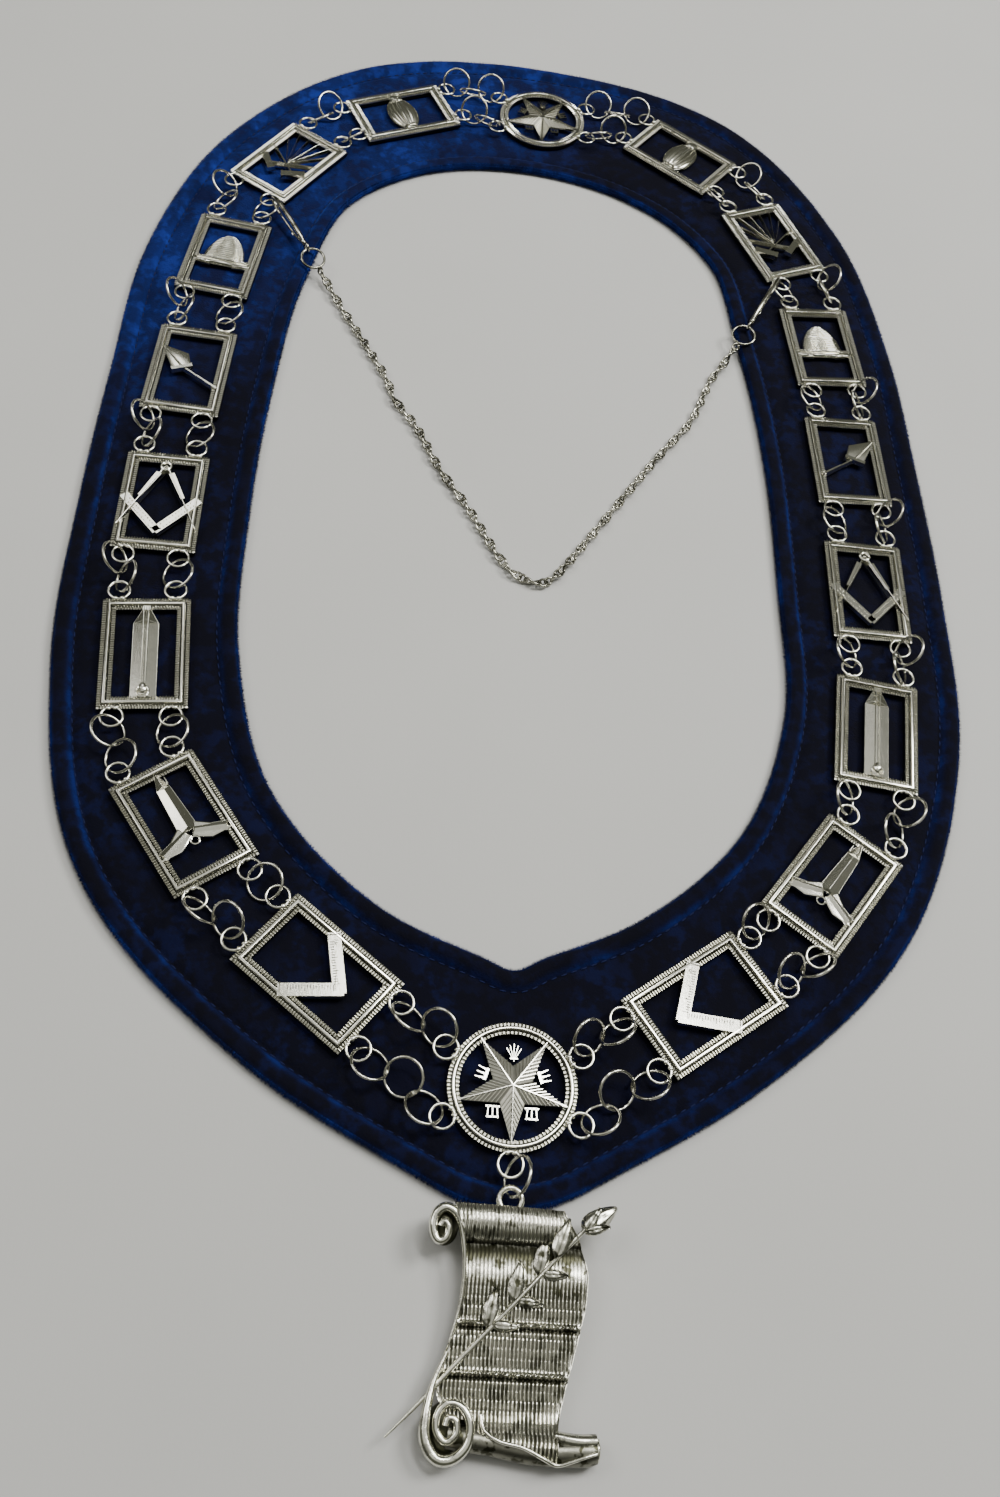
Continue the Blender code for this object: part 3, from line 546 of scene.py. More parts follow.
def even_steps(points, pitch):
    """Points at an even pitch round a closed line, each with the direction of the line."""
    closed = np.vstack([points, points[:1]])
    lengths = np.concatenate([[0], np.cumsum(np.linalg.norm(np.diff(closed, axis=0), axis=1))])
    wanted = np.linspace(0, lengths[-1], round(lengths[-1] / pitch), endpoint=False)
    places = np.stack([np.interp(wanted, lengths, closed[:, axis]) for axis in range(2)], axis=1)
    ahead = np.roll(places, -1, axis=0) - np.roll(places, 1, axis=0)
    return places, ahead / np.linalg.norm(ahead, axis=1)[:, None]


def inset_line(edge, other, inset):
    """The line that runs at an inset from one edge of the band towards the other."""
    return edge + (other - edge) * inset / np.linalg.norm(other - edge, axis=1)[:, None]


def thread_look():
    look = Look("blue_thread", {"Roughness": 0.7, "Specular IOR Level": 0.2})
    twist = look.noise(0.5 * MM, 2, (1, 0.3, 1), 0.6)
    look.set("Base Color", look.mix(twist, (0.0012, 0.003, 0.022), (0.003, 0.009, 0.065)))
    look.bump(twist, 0.05 * MM)
    return look.material


def make_stitches():
    stitch = primitive("uv_sphere", "stitch", segments=6, ring_count=5, radius=1)
    put(stitch, Matrix.Diagonal((1.15 * MM, 0.26 * MM, 0.22 * MM, 1)))
    rows = []
    for edge, other in ((BAND_OUTER, BAND_INNER), (BAND_INNER, BAND_OUTER)):
        places, ahead = even_steps(inset_line(edge, other, STITCH_INSET), STITCH_PITCH)
        for (x, y), (along_x, along_y) in zip(places, ahead):
            turn = Matrix.Rotation(math.atan2(along_y, along_x) + 0.06, 4, "Z")
            rows.append(copy_of(stitch, Matrix.Translation((x, y, STITCH_HEIGHT)) @ turn))
    discard(stitch)
    piece = joined("topstitching", rows)
    piece.data.shade_smooth()
    dress(piece, thread_look(), "collar")


make_stitches()


# Pile of the edges: the velvet's cut pile, which stands out along both rolled edges as a short fringe.
PILE_ROWS = ((0.0, 1.5), (0.1, 2.4), (0.5, 3.2), (0.0, 0.9))
PILE_PITCH = 0.34 * MM
PILE_LENGTH = 0.85 * MM
PILE_WIDTH = 0.22 * MM
TUFT_FACES = ((0, 1, 2), (1, 0, 3), (2, 1, 3), (0, 2, 3))


def make_pile():
    """Tapered tufts with three sides each, their roots in the velvet."""
    chance = np.random.default_rng(7)
    points = []
    faces = []
    for edge, other in ((BAND_OUTER, BAND_INNER), (BAND_INNER, BAND_OUTER)):
        for inset, height in PILE_ROWS:
            places, ahead = even_steps(inset_line(edge, other, inset * MM), PILE_PITCH)
            for (x, y), (along_x, along_y) in zip(places, ahead):
                out = np.array((along_y, -along_x, 0)) * (-1 if edge is BAND_OUTER else 1)
                along = np.array((along_x, along_y, 0))
                rise = chance.uniform(-0.25, 0.55) + 0.35 * inset
                lean = chance.uniform(-0.7, 0.7)
                reach = PILE_LENGTH * chance.uniform(0.55, 1.15)
                root = np.array((x, y, height * MM)) + along * chance.uniform(-0.2, 0.2) * MM
                tip = root + reach * (out + lean * along + (0, 0, rise)) / math.sqrt(1 + lean**2 + rise**2)
                first = len(points)
                points += [
                    root - out * 0.3 * MM + along * PILE_WIDTH / 2,
                    root - out * 0.3 * MM - along * PILE_WIDTH / 2,
                    root - out * 0.3 * MM + (0, 0, PILE_WIDTH),
                    tip,
                ]
                faces += [(first + a, first + b, first + c) for a, b, c in TUFT_FACES]
    mesh = bpy.data.meshes.new("edge_pile")
    mesh.from_pydata([tuple(point) for point in points], [], faces)
    piece = bpy.data.objects.new("edge_pile", mesh)
    bpy.context.scene.collection.objects.link(piece)
    open_piece(piece)
    bpy.ops.mesh.normals_make_consistent(inside=False)
    close_piece()
    dress(piece, VELVET, "collar")


make_pile()


# Plaque frames: a die-cast nickel-plated rail with a smooth raised band in the middle and a milled land on
# each side of it, the outer one a little wider. The milling is a row of narrow round teeth across the land.
PLAQUE_LENGTH = 40.0 * MM
PLAQUE_WIDTH = 26.6 * MM
LAND_HEIGHT = 1.50 * MM
# Width and rise of each step of the rail from its outer edge to the opening, in mm
RAIL_STEPS = (
    (1.15, 0.0),
    (0.06, -0.60),
    (0.16, 0.0),
    (0.16, 1.40),
    (0.16, 0.22),
    (0.62, 0.0),
    (0.16, -0.22),
    (0.16, -1.40),
    (0.16, 0.0),
    (0.06, 0.60),
    (1.10, 0.0),
)
TOOTH_PITCH = 0.84 * MM
TOOTH_RADIUS = 0.30 * MM
TOOTH_RISE = 0.52 * MM
TOOTH_LENGTH = 1.25 * MM


def raised(height):
    """A test for the faces that lie at a height and face up."""
    return lambda polygon: polygon.normal.z > 0.9 and abs(polygon.center.z - height) < 0.01 * MM


def stepped_rail(piece, steps, height):
    """Extrudes a flat outline, insets the steps of a rail on its top and opens its middle through."""
    open_piece(piece)
    bpy.ops.mesh.extrude_region_move(TRANSFORM_OT_translate={"value": (0, 0, height)})
    bpy.ops.mesh.select_all(action="SELECT")
    bpy.ops.mesh.normals_make_consistent(inside=False)
    close_piece()
    open_piece(piece, raised(height))
    for width, rise in steps:
        bpy.ops.mesh.inset(thickness=width * MM, depth=rise * MM)
    bpy.ops.mesh.delete(type="FACE")
    close_piece()
    open_piece(piece, lambda polygon: polygon.normal.z < -0.9)
    bpy.ops.mesh.inset(thickness=sum(width for width, _ in steps) * MM, depth=0)
    bpy.ops.mesh.delete(type="FACE")
    bpy.ops.mesh.select_mode(type="EDGE")
    bpy.ops.mesh.select_non_manifold(extend=False)
    bpy.ops.mesh.bridge_edge_loops()
    close_piece()


def shade_below(piece, level):
    """Paints shade on the lands and channels of a rail, up to a level."""
    return shade_and_dark_marks(piece, [0.6 if vertex.co.z < level + 0.1 * MM else 0.0 for vertex in piece.data.vertices])


def tooth(length):
    """One round tooth that lies along X and wraps over the land's outer edge, its lower half cut away."""
    piece = primitive("cylinder", "tooth", vertices=8, radius=1, depth=1, rotation=(0, math.pi / 2, 0))
    open_piece(piece)
    bpy.ops.mesh.bisect(plane_co=(0, 0, -0.3), plane_no=(0, 0, 1), clear_inner=True)
    close_piece()
    for vertex in piece.data.vertices:
        if vertex.co.x > 0:
            vertex.co.x -= 0.10 * max(0, vertex.co.z) ** 2
    # The lower part of each tooth is painted dark: painted shade between the teeth.
    shade_and_dark_marks(piece, [max(0.0, 0.45 - max(0, vertex.co.z)) for vertex in piece.data.vertices])
    return put(piece, Matrix.Diagonal((length, TOOTH_RADIUS, TOOTH_RISE, 1)))


def milled_row(run):
    """A row of teeth along Y, as many as the run holds."""
    count = int(run / TOOTH_PITCH)
    piece = tooth(TOOTH_LENGTH)
    offset = (0, run / count, 0)
    apply_modifier(piece, "ARRAY", count=count, use_relative_offset=False, use_constant_offset=True,
                   constant_offset_displace=offset)
    return put(piece, Matrix.Translation((0, -run / 2 + run / count / 2, 0)))


def quarter_turns(angle, place):
    return Matrix.Rotation(math.radians(angle), 4, "Z") @ Matrix.Translation(place)


def soften(piece, width, angle, segments=1):
    """Rounds the edges where two faces meet at more than the angle."""
    limit = math.radians(angle)
    apply_modifier(piece, "BEVEL", width=width, segments=segments, limit_method="ANGLE", angle_limit=limit)


def plaque_frame():
    outline = primitive("plane", "frame", size=1)
    put(outline, Matrix.Diagonal((PLAQUE_LENGTH, PLAQUE_WIDTH, 1, 1)))
    stepped_rail(outline, RAIL_STEPS, LAND_HEIGHT)
    soften(outline, 0.07 * MM, 25, 2)
    shade_below(outline, LAND_HEIGHT)
    rail = sum(width for width, _ in RAIL_STEPS) * MM
    land = RAIL_STEPS[0][0] * MM
    rows = []
    for inset, overhang in ((land / 2, 0.08 * MM), (rail - land / 2, -0.04 * MM)):
        long_run = PLAQUE_LENGTH - 2 * inset
        short_run = PLAQUE_WIDTH - 2 * inset
        long_row = milled_row(long_run)
        short_row = milled_row(short_run)
        for angle, row, reach in ((0, short_row, PLAQUE_LENGTH), (90, long_row, PLAQUE_WIDTH)):
            for turn in (angle, angle + 180):
                place = (reach / 2 - inset + overhang, 0, LAND_HEIGHT)
                rows.append(copy_of(row, quarter_turns(turn, place)))
        discard(long_row, short_row)
    return shaded(joined("frame", [outline, *rows]), 40)


def nickel_look(name, colour, dark, roughness, recess, casting_grain, blotches=0.0):
    """Plated casting: bright on the raised faces; dark olive painted shade in the recesses and on the marked
    vertices, and random dark spots where blotches is set; with fine polishing marks.
    """
    look = Look(name, {"Metallic": 1.0})
    patches = look.noise(3.5 * MM, 4)
    grain = look.noise(0.5 * MM, 2)
    scratches = look.noise(0.12 * MM, 2, (1, 0.06, 1), 0.7)
    height = look.node("SeparateXYZ", {}, {0: look.node("TexCoord", output="Object")}, output="Z")
    marked_darkness = look.node("Attribute", {"attribute_name": "shade_and_dark_marks"}, output="Fac")
    # Painted shade: everything below the recess heights is darkened towards the dark colour.
    low = (1 - look.band(height, *recess)) * (0.70 + patches * 0.40)
    spots = look.band(look.noise(1.6 * MM, 3), 0.50, 0.68) * blotches
    # Adds the painted recess shade, the marked shade and dark marks, and the random spots.
    shade_marks_and_spots = look.band(low + marked_darkness * (0.75 + patches * 0.35) + spots, 0.0, 1.0)
    plate = look.mix(look.band(patches, 0.35, 0.75), colour, tuple(0.84 * part for part in colour))
    look.set("Base Color", look.mix(shade_marks_and_spots, plate, dark))
    scratched = look.band(scratches, 0.55, 0.75)
    look.set("Roughness", roughness + patches * 0.08 + shade_marks_and_spots * 0.20 + scratched * 0.06)
    look.bump(grain * 0.6 + scratches * 0.4, casting_grain, 0.6)
    return look.material


# Heights over which the nickel's painted recess shade fades out, then the plate's colour and the dark olive
# of its painted shade.
DEEP = BOTTOM_CENTRE.z + 0.7 * MM
SHALLOW = BOTTOM_CENTRE.z + 1.7 * MM
BRIGHT_PLATE = (0.86, 0.85, 0.76)
SHADE_AND_MARK_PLATE = (0.05, 0.05, 0.032)
NICKEL = nickel_look("nickel_plate", BRIGHT_PLATE, SHADE_AND_MARK_PLATE, 0.12, (DEEP, SHALLOW), 0.02 * MM)
FRAME = plaque_frame()


# Emblems: each is cast in one with its frame, a little lower than the frame's raised band. It is drawn in the
# plaque's own plane, u along the chain towards the top medallion and v outwards, and mirrored on the right.
EMBLEM_BASE = 0.9 * MM
EMBLEM_TOP = 2.35 * MM


def strip(start, end, widths, low=EMBLEM_BASE, high=EMBLEM_TOP, crest=0.8):
    """A straight bar of metal that tapers from one width to the other; crest is the share left on its top."""
    start = Vector((*start, 0)) * MM
    end = Vector((*end, 0)) * MM
    length = (end - start).length
    piece = primitive("cube", "strip", size=1)
    put(piece, Matrix.Diagonal((length, widths[0] * MM, high - low, 1)))
    open_piece(piece, lambda polygon: polygon.normal.x > 0.9)
    bpy.ops.transform.resize(value=(1, widths[1] / widths[0], 1), center_override=(0, 0, 0))
    close_piece()
    open_piece(piece, lambda polygon: polygon.normal.z > 0.9)
    drawn_in = 1 - 0.3 * (1 - crest) * widths[0] * MM / length
    bpy.ops.transform.resize(value=(drawn_in, crest, 1), center_override=(0, 0, 0))
    close_piece()
    turn = math.atan2(end.y - start.y, end.x - start.x)
    middle = (start + end) / 2 + Vector((0, 0, (low + high) / 2))
    return put(piece, Matrix.Translation(middle) @ Matrix.Rotation(turn, 4, "Z"))


def slab(outline, low=EMBLEM_BASE, high=EMBLEM_TOP, rim=0.3):
    """A flat plate with a drawn outline, its top drawn in by a sloping rim."""
    piece = primitive("circle", "slab", vertices=len(outline), radius=1, fill_type="NGON")
    for vertex, (u, v) in zip(piece.data.vertices, outline):
        vertex.co = (u * MM, v * MM, low)
    open_piece(piece)
    bpy.ops.mesh.extrude_region_move(TRANSFORM_OT_translate={"value": (0, 0, high - low)})
    bpy.ops.mesh.select_all(action="SELECT")
    bpy.ops.mesh.normals_make_consistent(inside=False)
    close_piece()
    open_piece(piece, raised(high))
    bpy.ops.mesh.inset(thickness=rim * MM, depth=0.15 * MM)
    close_piece()
    return piece


def dome(centre, sizes, low=EMBLEM_BASE, segments=16, rings=8):
    """A half ball with the three half sizes, flat below."""
    piece = primitive("uv_sphere", "dome", segments=segments, ring_count=rings, radius=1)
    open_piece(piece)
    bpy.ops.mesh.bisect(plane_co=(0, 0, -0.15), plane_no=(0, 0, 1), clear_inner=True, use_fill=True)
    close_piece()
    size = Matrix.Diagonal((*(half * MM for half in sizes), 1))
    return put(piece, Matrix.Translation((centre[0] * MM, centre[1] * MM, low)) @ size)


def hoop(centre, radius, wire, height):
    piece = primitive("torus", "hoop", major_radius=radius * MM, minor_radius=wire * MM, major_segments=20,
                      minor_segments=8)
    return put(piece, Matrix.Translation((centre[0] * MM, centre[1] * MM, height)))


def ticks(start, end, count, reach, high=EMBLEM_TOP, long_every=5):
    """Rule marks: short raised lines across one edge of a bar."""
    start = Vector((*start, 0))
    end = Vector((*end, 0))
    along = (end - start).normalized()
    across = Vector((-along.y, along.x, 0))
    marks = []
    for index in range(count):
        foot = start.lerp(end, (index + 0.5) / count)
        tip = foot + across * reach * (1.5 if index % long_every == 0 else 1.0)
        marks.append(strip(foot[:2], tip[:2], (0.26, 0.26), high - 0.1 * MM, high + 0.16 * MM, 0.6))
    return marks


def roof(start, end, widths, eave, ridge):
    """A bar whose top falls away on both sides of a ridge."""
    return [
        strip(start, end, widths, EMBLEM_BASE, EMBLEM_TOP + eave * MM, 1.0),
        strip(start, end, widths, EMBLEM_TOP + (eave - 0.05) * MM, EMBLEM_TOP + ridge * MM, 0.02),
    ]


def square_emblem():
    """A flat mason's square: two plates with a joint line, a border and rule marks along one edge."""
    pieces = []
    top = EMBLEM_TOP + 0.1 * MM
    for side in (1, -1):
        lift = 0.06 * MM if side > 0 else 0
        arm = [strip((-9.2, -0.9 * side), (4.3, 11.2 * side), (4.2, 4.2), high=top, crest=0.9)]
        marks = ticks((-6.4, -0.2 * side), (3.4, 8.6 * side), 17, 1.15 * side, top)
        arm += [shade_and_dark_marks(mark, 0.9) for mark in marks]
        across_end = ((2.6, 12.1 * side), (5.2, 9.1 * side), (0.30, 0.30))
        end_line = strip(*across_end, EMBLEM_TOP, EMBLEM_TOP + 0.30 * MM, 0.6)
        arm.append(shade_and_dark_marks(end_line, 0.9))
        pieces += [put(piece, Matrix.Translation((0, 0, lift))) for piece in arm]
    joint_line = strip((-7.6, 1.2), (-5.0, -1.9), (0.22, 0.22), EMBLEM_TOP, EMBLEM_TOP + 0.32 * MM, 0.5)
    pieces.append(shade_and_dark_marks(joint_line, 0.9))
    pieces.append(hoop((2.0, -9.6), 0.42, 0.16, EMBLEM_TOP + 0.2 * MM))
    return pieces


def level_emblem():
    """A level: a broad ridged stem with a spire, two flared, pointed feet and a plumb ring at their fork."""
    pieces = roof((-3.6, 0), (12.2, 0), (6.0, 4.2), -0.55, 0.45)
    pieces += roof((11.8, 0), (17.2, 0), (4.2, 0.8), -0.55, 0.45)
    pieces.append(strip((12.6, -1.9), (15.2, -1.9), (0.9, 0.5), crest=0.4))
    for side in (1, -1):
        foot = (
            (-1.6, 2.6 * side),
            (-4.6, 6.6 * side),
            (-8.6, 11.4 * side),
            (-8.6, 4.8 * side),
            (-7.2, 2.4 * side),
            (-5.6, 0),
        )
        outline = foot if side < 0 else tuple(reversed(foot))
        pieces.append(slab(outline, high=EMBLEM_TOP - 0.35 * MM, rim=0.35))
        pieces += roof((-4.0, 1.2 * side), (-7.6, 10.2 * side), (2.4, 3.2), -0.30, 0.35)
    pieces.append(hoop((-7.4, 0), 1.25, 0.34, EMBLEM_TOP + 0.1 * MM))
    return pieces


def plumb_emblem():
    """A plumb rule: a full-length board, its faces sloped away from a low line between two fine beads."""
    pieces = roof((-16.6, 0), (10.8, 0), (7.8, 7.8), -0.75, 0.25)
    pieces += roof((10.6, 0), (15.9, 0), (7.8, 2.8), -0.75, 0.25)
    pieces.append(strip((15.4, 0), (17.0, 0), (2.6, 2.6), crest=0.9))
    top = EMBLEM_TOP + 0.25 * MM
    for offset in (-0.72, 0.72):
        bead = ((-13.2, offset), (16.6, offset), (0.55, 0.55))
        pieces.append(strip(*bead, EMBLEM_TOP - 0.4 * MM, top + 0.28 * MM, 0.4))
    pieces.append(strip((-12.2, 0), (16.6, 0), (0.30, 0.30), EMBLEM_TOP, top + 0.12 * MM, 0.4))
    pieces.append(dome((-13.4, 0), (2.1, 1.5, 1.5), EMBLEM_TOP - 0.3 * MM))
    pieces.append(hoop((-14.6, 0), 1.9, 0.32, top + 0.1 * MM))
    return pieces


def compasses_emblem():
    """Open compasses over a square with two dotted rows on each arm; both reach over the rails."""
    pieces = []
    high = EMBLEM_TOP + 0.1 * MM
    for side in (1, -1):
        pieces.append(strip((-13.2, -0.5 * side), (1.0, 12.2 * side), (3.3, 3.3), high=high, crest=0.88))
        for offset in (-0.72, 0.72):
            for index in range(12):
                share = 0.12 + 0.066 * index
                u = -13.2 + 14.2 * share - 0.66 * offset
                v = side * (-0.5 + 12.7 * share + 0.75 * offset)
                pieces.append(dome((u, v), (0.36, 0.36, 0.42), high - 0.1 * MM, 8, 4))
    crossing = EMBLEM_TOP + 0.75 * MM
    for side in (1, -1):
        foot = (-12.0, 12.7 * side)
        pieces.append(strip((13.4, 0.5 * side), foot, (2.1, 0.8), high=crossing, crest=0.15))
        brace = ((11.0, 2.0 * side), (0.6, 7.0 * side), (2.5, 1.7))
        pieces.append(strip(*brace, high=EMBLEM_TOP + 0.45 * MM, crest=0.75))
    pieces.append(hoop((13.6, 0), 1.55, 0.52, EMBLEM_TOP + 0.55 * MM))
    pieces.append(dome((13.6, 0), (0.7, 0.7, 0.9), EMBLEM_TOP))
    return pieces


def trowel_emblem():
    """A pointed trowel laid aslant: a smooth blade, a bright heel and a thin handle."""
    pieces = [slab(((9.8, 11.4), (6.9, 1.4), (1.3, -0.4), (-1.2, 5.6)), high=EMBLEM_TOP - 0.2 * MM, rim=0.7)]
    pieces += roof((0.4, 2.6), (9.0, 10.4), (1.6, 0.5), -0.2, 0.4)
    pieces.append(strip((-1.5, 6.0), (1.5, -0.9), (1.8, 1.8), high=EMBLEM_TOP + 0.45 * MM, crest=0.75))
    pieces.append(strip((0.4, 2.2), (-3.2, -3.4), (1.9, 1.1), crest=0.35))
    pieces.append(strip((-3.0, -3.1), (-7.8, -10.8), (1.3, 1.9), high=EMBLEM_TOP + 0.2 * MM, crest=0.4))
    pieces.append(dome((-7.2, -9.6), (1.2, 1.2, 1.7)))
    return pieces


def beehive_emblem():
    """A straw beehive: rounded courses one on the other, on a board that reaches from rail to rail."""
    pieces = []
    courses = 13
    for index in range(courses):
        share = (index + 0.2) / courses
        half = 7.9 * math.sqrt(1 - share**1.8)
        size = (0.56, half, 1.75 - 0.75 * share)
        pieces.append(dome((-2.4 + 1.04 * index, 0), size, EMBLEM_BASE + 0.1 * MM, 14, 6))
    pieces.append(strip((-4.1, -10.4), (-4.1, 10.4), (2.2, 2.2), high=EMBLEM_TOP - 0.15 * MM, crest=0.6))
    board_edge = ((-3.0, -9.6), (-3.0, 9.6), (0.8, 0.8))
    pieces.append(strip(*board_edge, EMBLEM_TOP - 0.4 * MM, EMBLEM_TOP + 0.40 * MM, 0.5))
    for side in (1, -1):
        pieces.append(strip((-5.0, 4.0 * side), (-4.8, 10.2 * side), (1.8, 0.8), crest=0.5))
    return pieces


def gavels_emblem():
    """Two crossed gavels under a fan of thin rays."""
    pieces = []
    for step, side in enumerate((1, -1)):
        lift = 0.22 * MM * step
        head = (-5.4, 5.5 * side)
        pieces.append(strip(head, (3.6, -10.2 * side), (1.7, 1.3), high=EMBLEM_TOP + lift, crest=0.3))
        mallet = ((-8.2, 2.6 * side), (-3.0, 9.6 * side), (3.2, 3.2))
        pieces.append(strip(*mallet, high=EMBLEM_TOP + 0.25 * MM + lift, crest=0.8))
        for near, far in (((-8.4, 2.3), (-7.8, 3.1)), ((-3.4, 9.1), (-2.8, 9.9))):
            band = (near[0], near[1] * side), (far[0], far[1] * side)
            pieces.append(strip(*band, (3.7, 3.7), high=EMBLEM_TOP + 0.45 * MM, crest=0.8))
    for angle in (-38, -23, -8, 8, 23, 38):
        turn = math.radians(angle)
        reach = 16.8 / math.cos(turn) if abs(angle) < 25 else 14.8
        end = (reach * math.cos(turn) - 0.6, reach * math.sin(turn))
        pieces.append(strip((0.6, 0.05 * angle), end, (0.35, 1.0), high=EMBLEM_TOP - 0.25 * MM, crest=0.1))
    pieces.append(dome((0.4, 0), (1.1, 1.1, 1.7)))
    return pieces


def globe_emblem():
    """A ribbed round shell held between the long rails, with a small foot on each."""
    segments = 60
    globe = primitive("uv_sphere", "globe", segments=segments, ring_count=16, radius=1)
    for vertex in globe.data.vertices:
        meridian = round(math.atan2(vertex.co.y, vertex.co.x) / (2 * math.pi) * segments)
        if meridian % 3 == 0:
            vertex.co.x *= 0.80
            vertex.co.y *= 0.80
    open_piece(globe)
    bpy.ops.mesh.bisect(plane_co=(0, 0.1, 0), plane_no=(0, -1, 0), clear_inner=True, use_fill=True)
    close_piece()
    put(globe, Matrix.Rotation(-math.pi / 2, 4, "X"))
    put(globe, Matrix.Translation((0, 0, EMBLEM_BASE)) @ Matrix.Diagonal((6.0 * MM, 9.4 * MM, 2.3 * MM, 1)))
    pieces = [globe]
    for side in (1, -1):
        pieces.append(strip((0, 7.4 * side), (0, 10.6 * side), (3.4, 5.8), crest=0.7))
        bead = ((-2.6, 8.3 * side), (2.6, 8.3 * side), (0.8, 0.8))
        pieces.append(strip(*bead, EMBLEM_TOP - 0.3 * MM, EMBLEM_TOP + 0.35 * MM, 0.5))
    return pieces


MAKERS = {
    "square": square_emblem,
    "level": level_emblem,
    "plumb": plumb_emblem,
    "compasses": compasses_emblem,
    "trowel": trowel_emblem,
    "beehive": beehive_emblem,
    "gavels": gavels_emblem,
    "globe": globe_emblem,
}


def cast_emblem(name):
    piece = joined(name, MAKERS[name]())
    soften(piece, 0.05 * MM, 35)
    return shaded(piece, 40 if name in ("beehive", "globe") else 13)


# Ears: flat loops of round wire, four soldered to the ends of each plaque, and the same loops round the
# medallions, each with a small fillet of solder where it meets the casting.
EAR_RADIUS = 3.3 * MM
EAR_WIRE = 0.45 * MM
EAR_REACH = 3.1 * MM
EAR_SPREAD = 8.6 * MM
EAR_LEVEL = 0.81 * 2.6 * MM


def solder_fillet(place, heading):
    """A small mound that runs from the casting's edge up the wire."""
    piece = primitive("uv_sphere", "fillet", segments=10, ring_count=6, radius=1)
    size = Matrix.Diagonal((0.75 * MM, 1.0 * MM, 0.62 * MM, 1))
    return put(piece, Matrix.Translation(place) @ Matrix.Rotation(heading, 4, "Z") @ size)


def ear(heading):
    """An ear whose casting's edge is at the origin, facing the heading."""
    loop = primitive("torus", "ear", major_radius=EAR_RADIUS, minor_radius=EAR_WIRE, major_segments=32,
                     minor_segments=10)
    put(loop, Matrix.Translation((EAR_REACH, 0, EAR_LEVEL)))
    fillets = [solder_fillet((0.05 * MM, side * 1.1 * MM, EAR_LEVEL), side * 0.5) for side in (1, -1)]
    piece = joined("ear", [loop, *fillets])
    return put(shaded(piece, 45), Matrix.Rotation(heading, 4, "Z"))


EAR = ear(0.0)


def plaque_ears():
    ears = []
    for end in (1, -1):
        for side in (1, -1):
            turn = 0 if end > 0 else math.pi
            place = Matrix.Translation((end * PLAQUE_LENGTH / 2, side * EAR_SPREAD, 0))
            ears.append(copy_of(EAR, place @ Matrix.Rotation(turn, 4, "Z")))
    return ears


def seat_matrix(centre, u):
    return Matrix.Translation(centre) @ Matrix.Rotation(math.atan2(u.y, u.x), 4, "Z")


def make_plaques():
    for number, name in enumerate(EMBLEMS, start=1):
        emblem = cast_emblem(name)
        for half, side in (("left", 1), ("right", -1)):
            centre, u = SEATS[half][number - 1]
            drawn = copy_of(emblem, Matrix.Diagonal((1, side, 1, 1)))
            piece = joined(f"{name}_plaque_{half}", [copy_of(FRAME), drawn, *plaque_ears()])
            put(piece, seat_matrix(centre, u))
            dress(piece, NICKEL, "collar", [node_of(half, number)])
        discard(emblem)


make_plaques()
discard(FRAME)


# Medallions: a round milled rim with a five-pointed star, one point towards the front, its rays ribbed like
# feathers beside a sharp ridge, and small plain badges in the gaps.
MEDALLION_RADIUS = 17.5 * MM
MEDALLION_STEPS = (
    (0.85, 0.0),
    (0.05, -0.50),
    (0.12, 0.0),
    (0.14, 1.30),
    (0.14, 0.20),
    (0.55, 0.0),
    (0.14, -0.20),
    (0.14, -1.30),
    (0.12, 0.0),
    (0.05, 0.50),
    (0.80, 0.0),
)
OUTER_TEETH = 104
INNER_TEETH = 84
STAR_REACH = 15.0
STAR_NOTCH = 5.6
STAR_CENTRE_HEIGHT = 2.85
STAR_TIP_HEIGHT = 2.05
STAR_NOTCH_HEIGHT = 1.45
RIBS_PER_FACET = 9
MEDALLION_EAR_ANGLE = 26.8


def round_milling(radius, count, length):
    """A ring of teeth that lie along the radius."""
    piece = tooth(length)
    rows = []
    for index in range(count):
        turn = Matrix.Rotation(2 * math.pi * index / count, 4, "Z")
        rows.append(copy_of(piece, turn @ Matrix.Translation((radius, 0, LAND_HEIGHT))))
    discard(piece)
    return joined("milling", rows)


def polar(radius, degrees):
    turn = math.radians(degrees)
    return np.array((radius * math.cos(turn), radius * math.sin(turn)))


def star_facets():
    """The star's ridges, from the centre to each tip, with the notches beside them."""
    for point in range(5):
        angle = 270 + 72 * point
        tip = polar(STAR_REACH, angle)
        for side in (1, -1):
            yield tip, polar(STAR_NOTCH, angle + 36 * side)


def star():
    pieces = []
    for tip, notch in star_facets():
        corners = ((0, 0, STAR_CENTRE_HEIGHT), (*tip, STAR_TIP_HEIGHT), (*notch, STAR_NOTCH_HEIGHT))
        facet = primitive("circle", "facet", vertices=3, radius=1, fill_type="NGON")
        for vertex, corner in zip(facet.data.vertices, corners):
            vertex.co = Vector(corner) * MM
        # Each facet is painted 0.7 dark: painted shade between the ribs.
        pieces.append(shade_and_dark_marks(facet, 0.70))
        top = (0, 0, STAR_CENTRE_HEIGHT + 0.12)
        pieces.append(rib_between(top, (*(tip * 1.02), STAR_TIP_HEIGHT + 0.30), 0.55, 0.5))
        for rib in range(RIBS_PER_FACET):
            share = (rib + 0.9) / (RIBS_PER_FACET + 0.6)
            fall = (STAR_TIP_HEIGHT - STAR_CENTRE_HEIGHT) * share
            top = np.array((*(tip * share * 0.93), STAR_CENTRE_HEIGHT + fall))
            low = notch + (tip - notch) * share
            foot = np.array((*low, STAR_NOTCH_HEIGHT + (STAR_TIP_HEIGHT - STAR_NOTCH_HEIGHT) * share))
            pieces.append(rib_between(top, foot))
    return turned_out(joined("star", pieces))


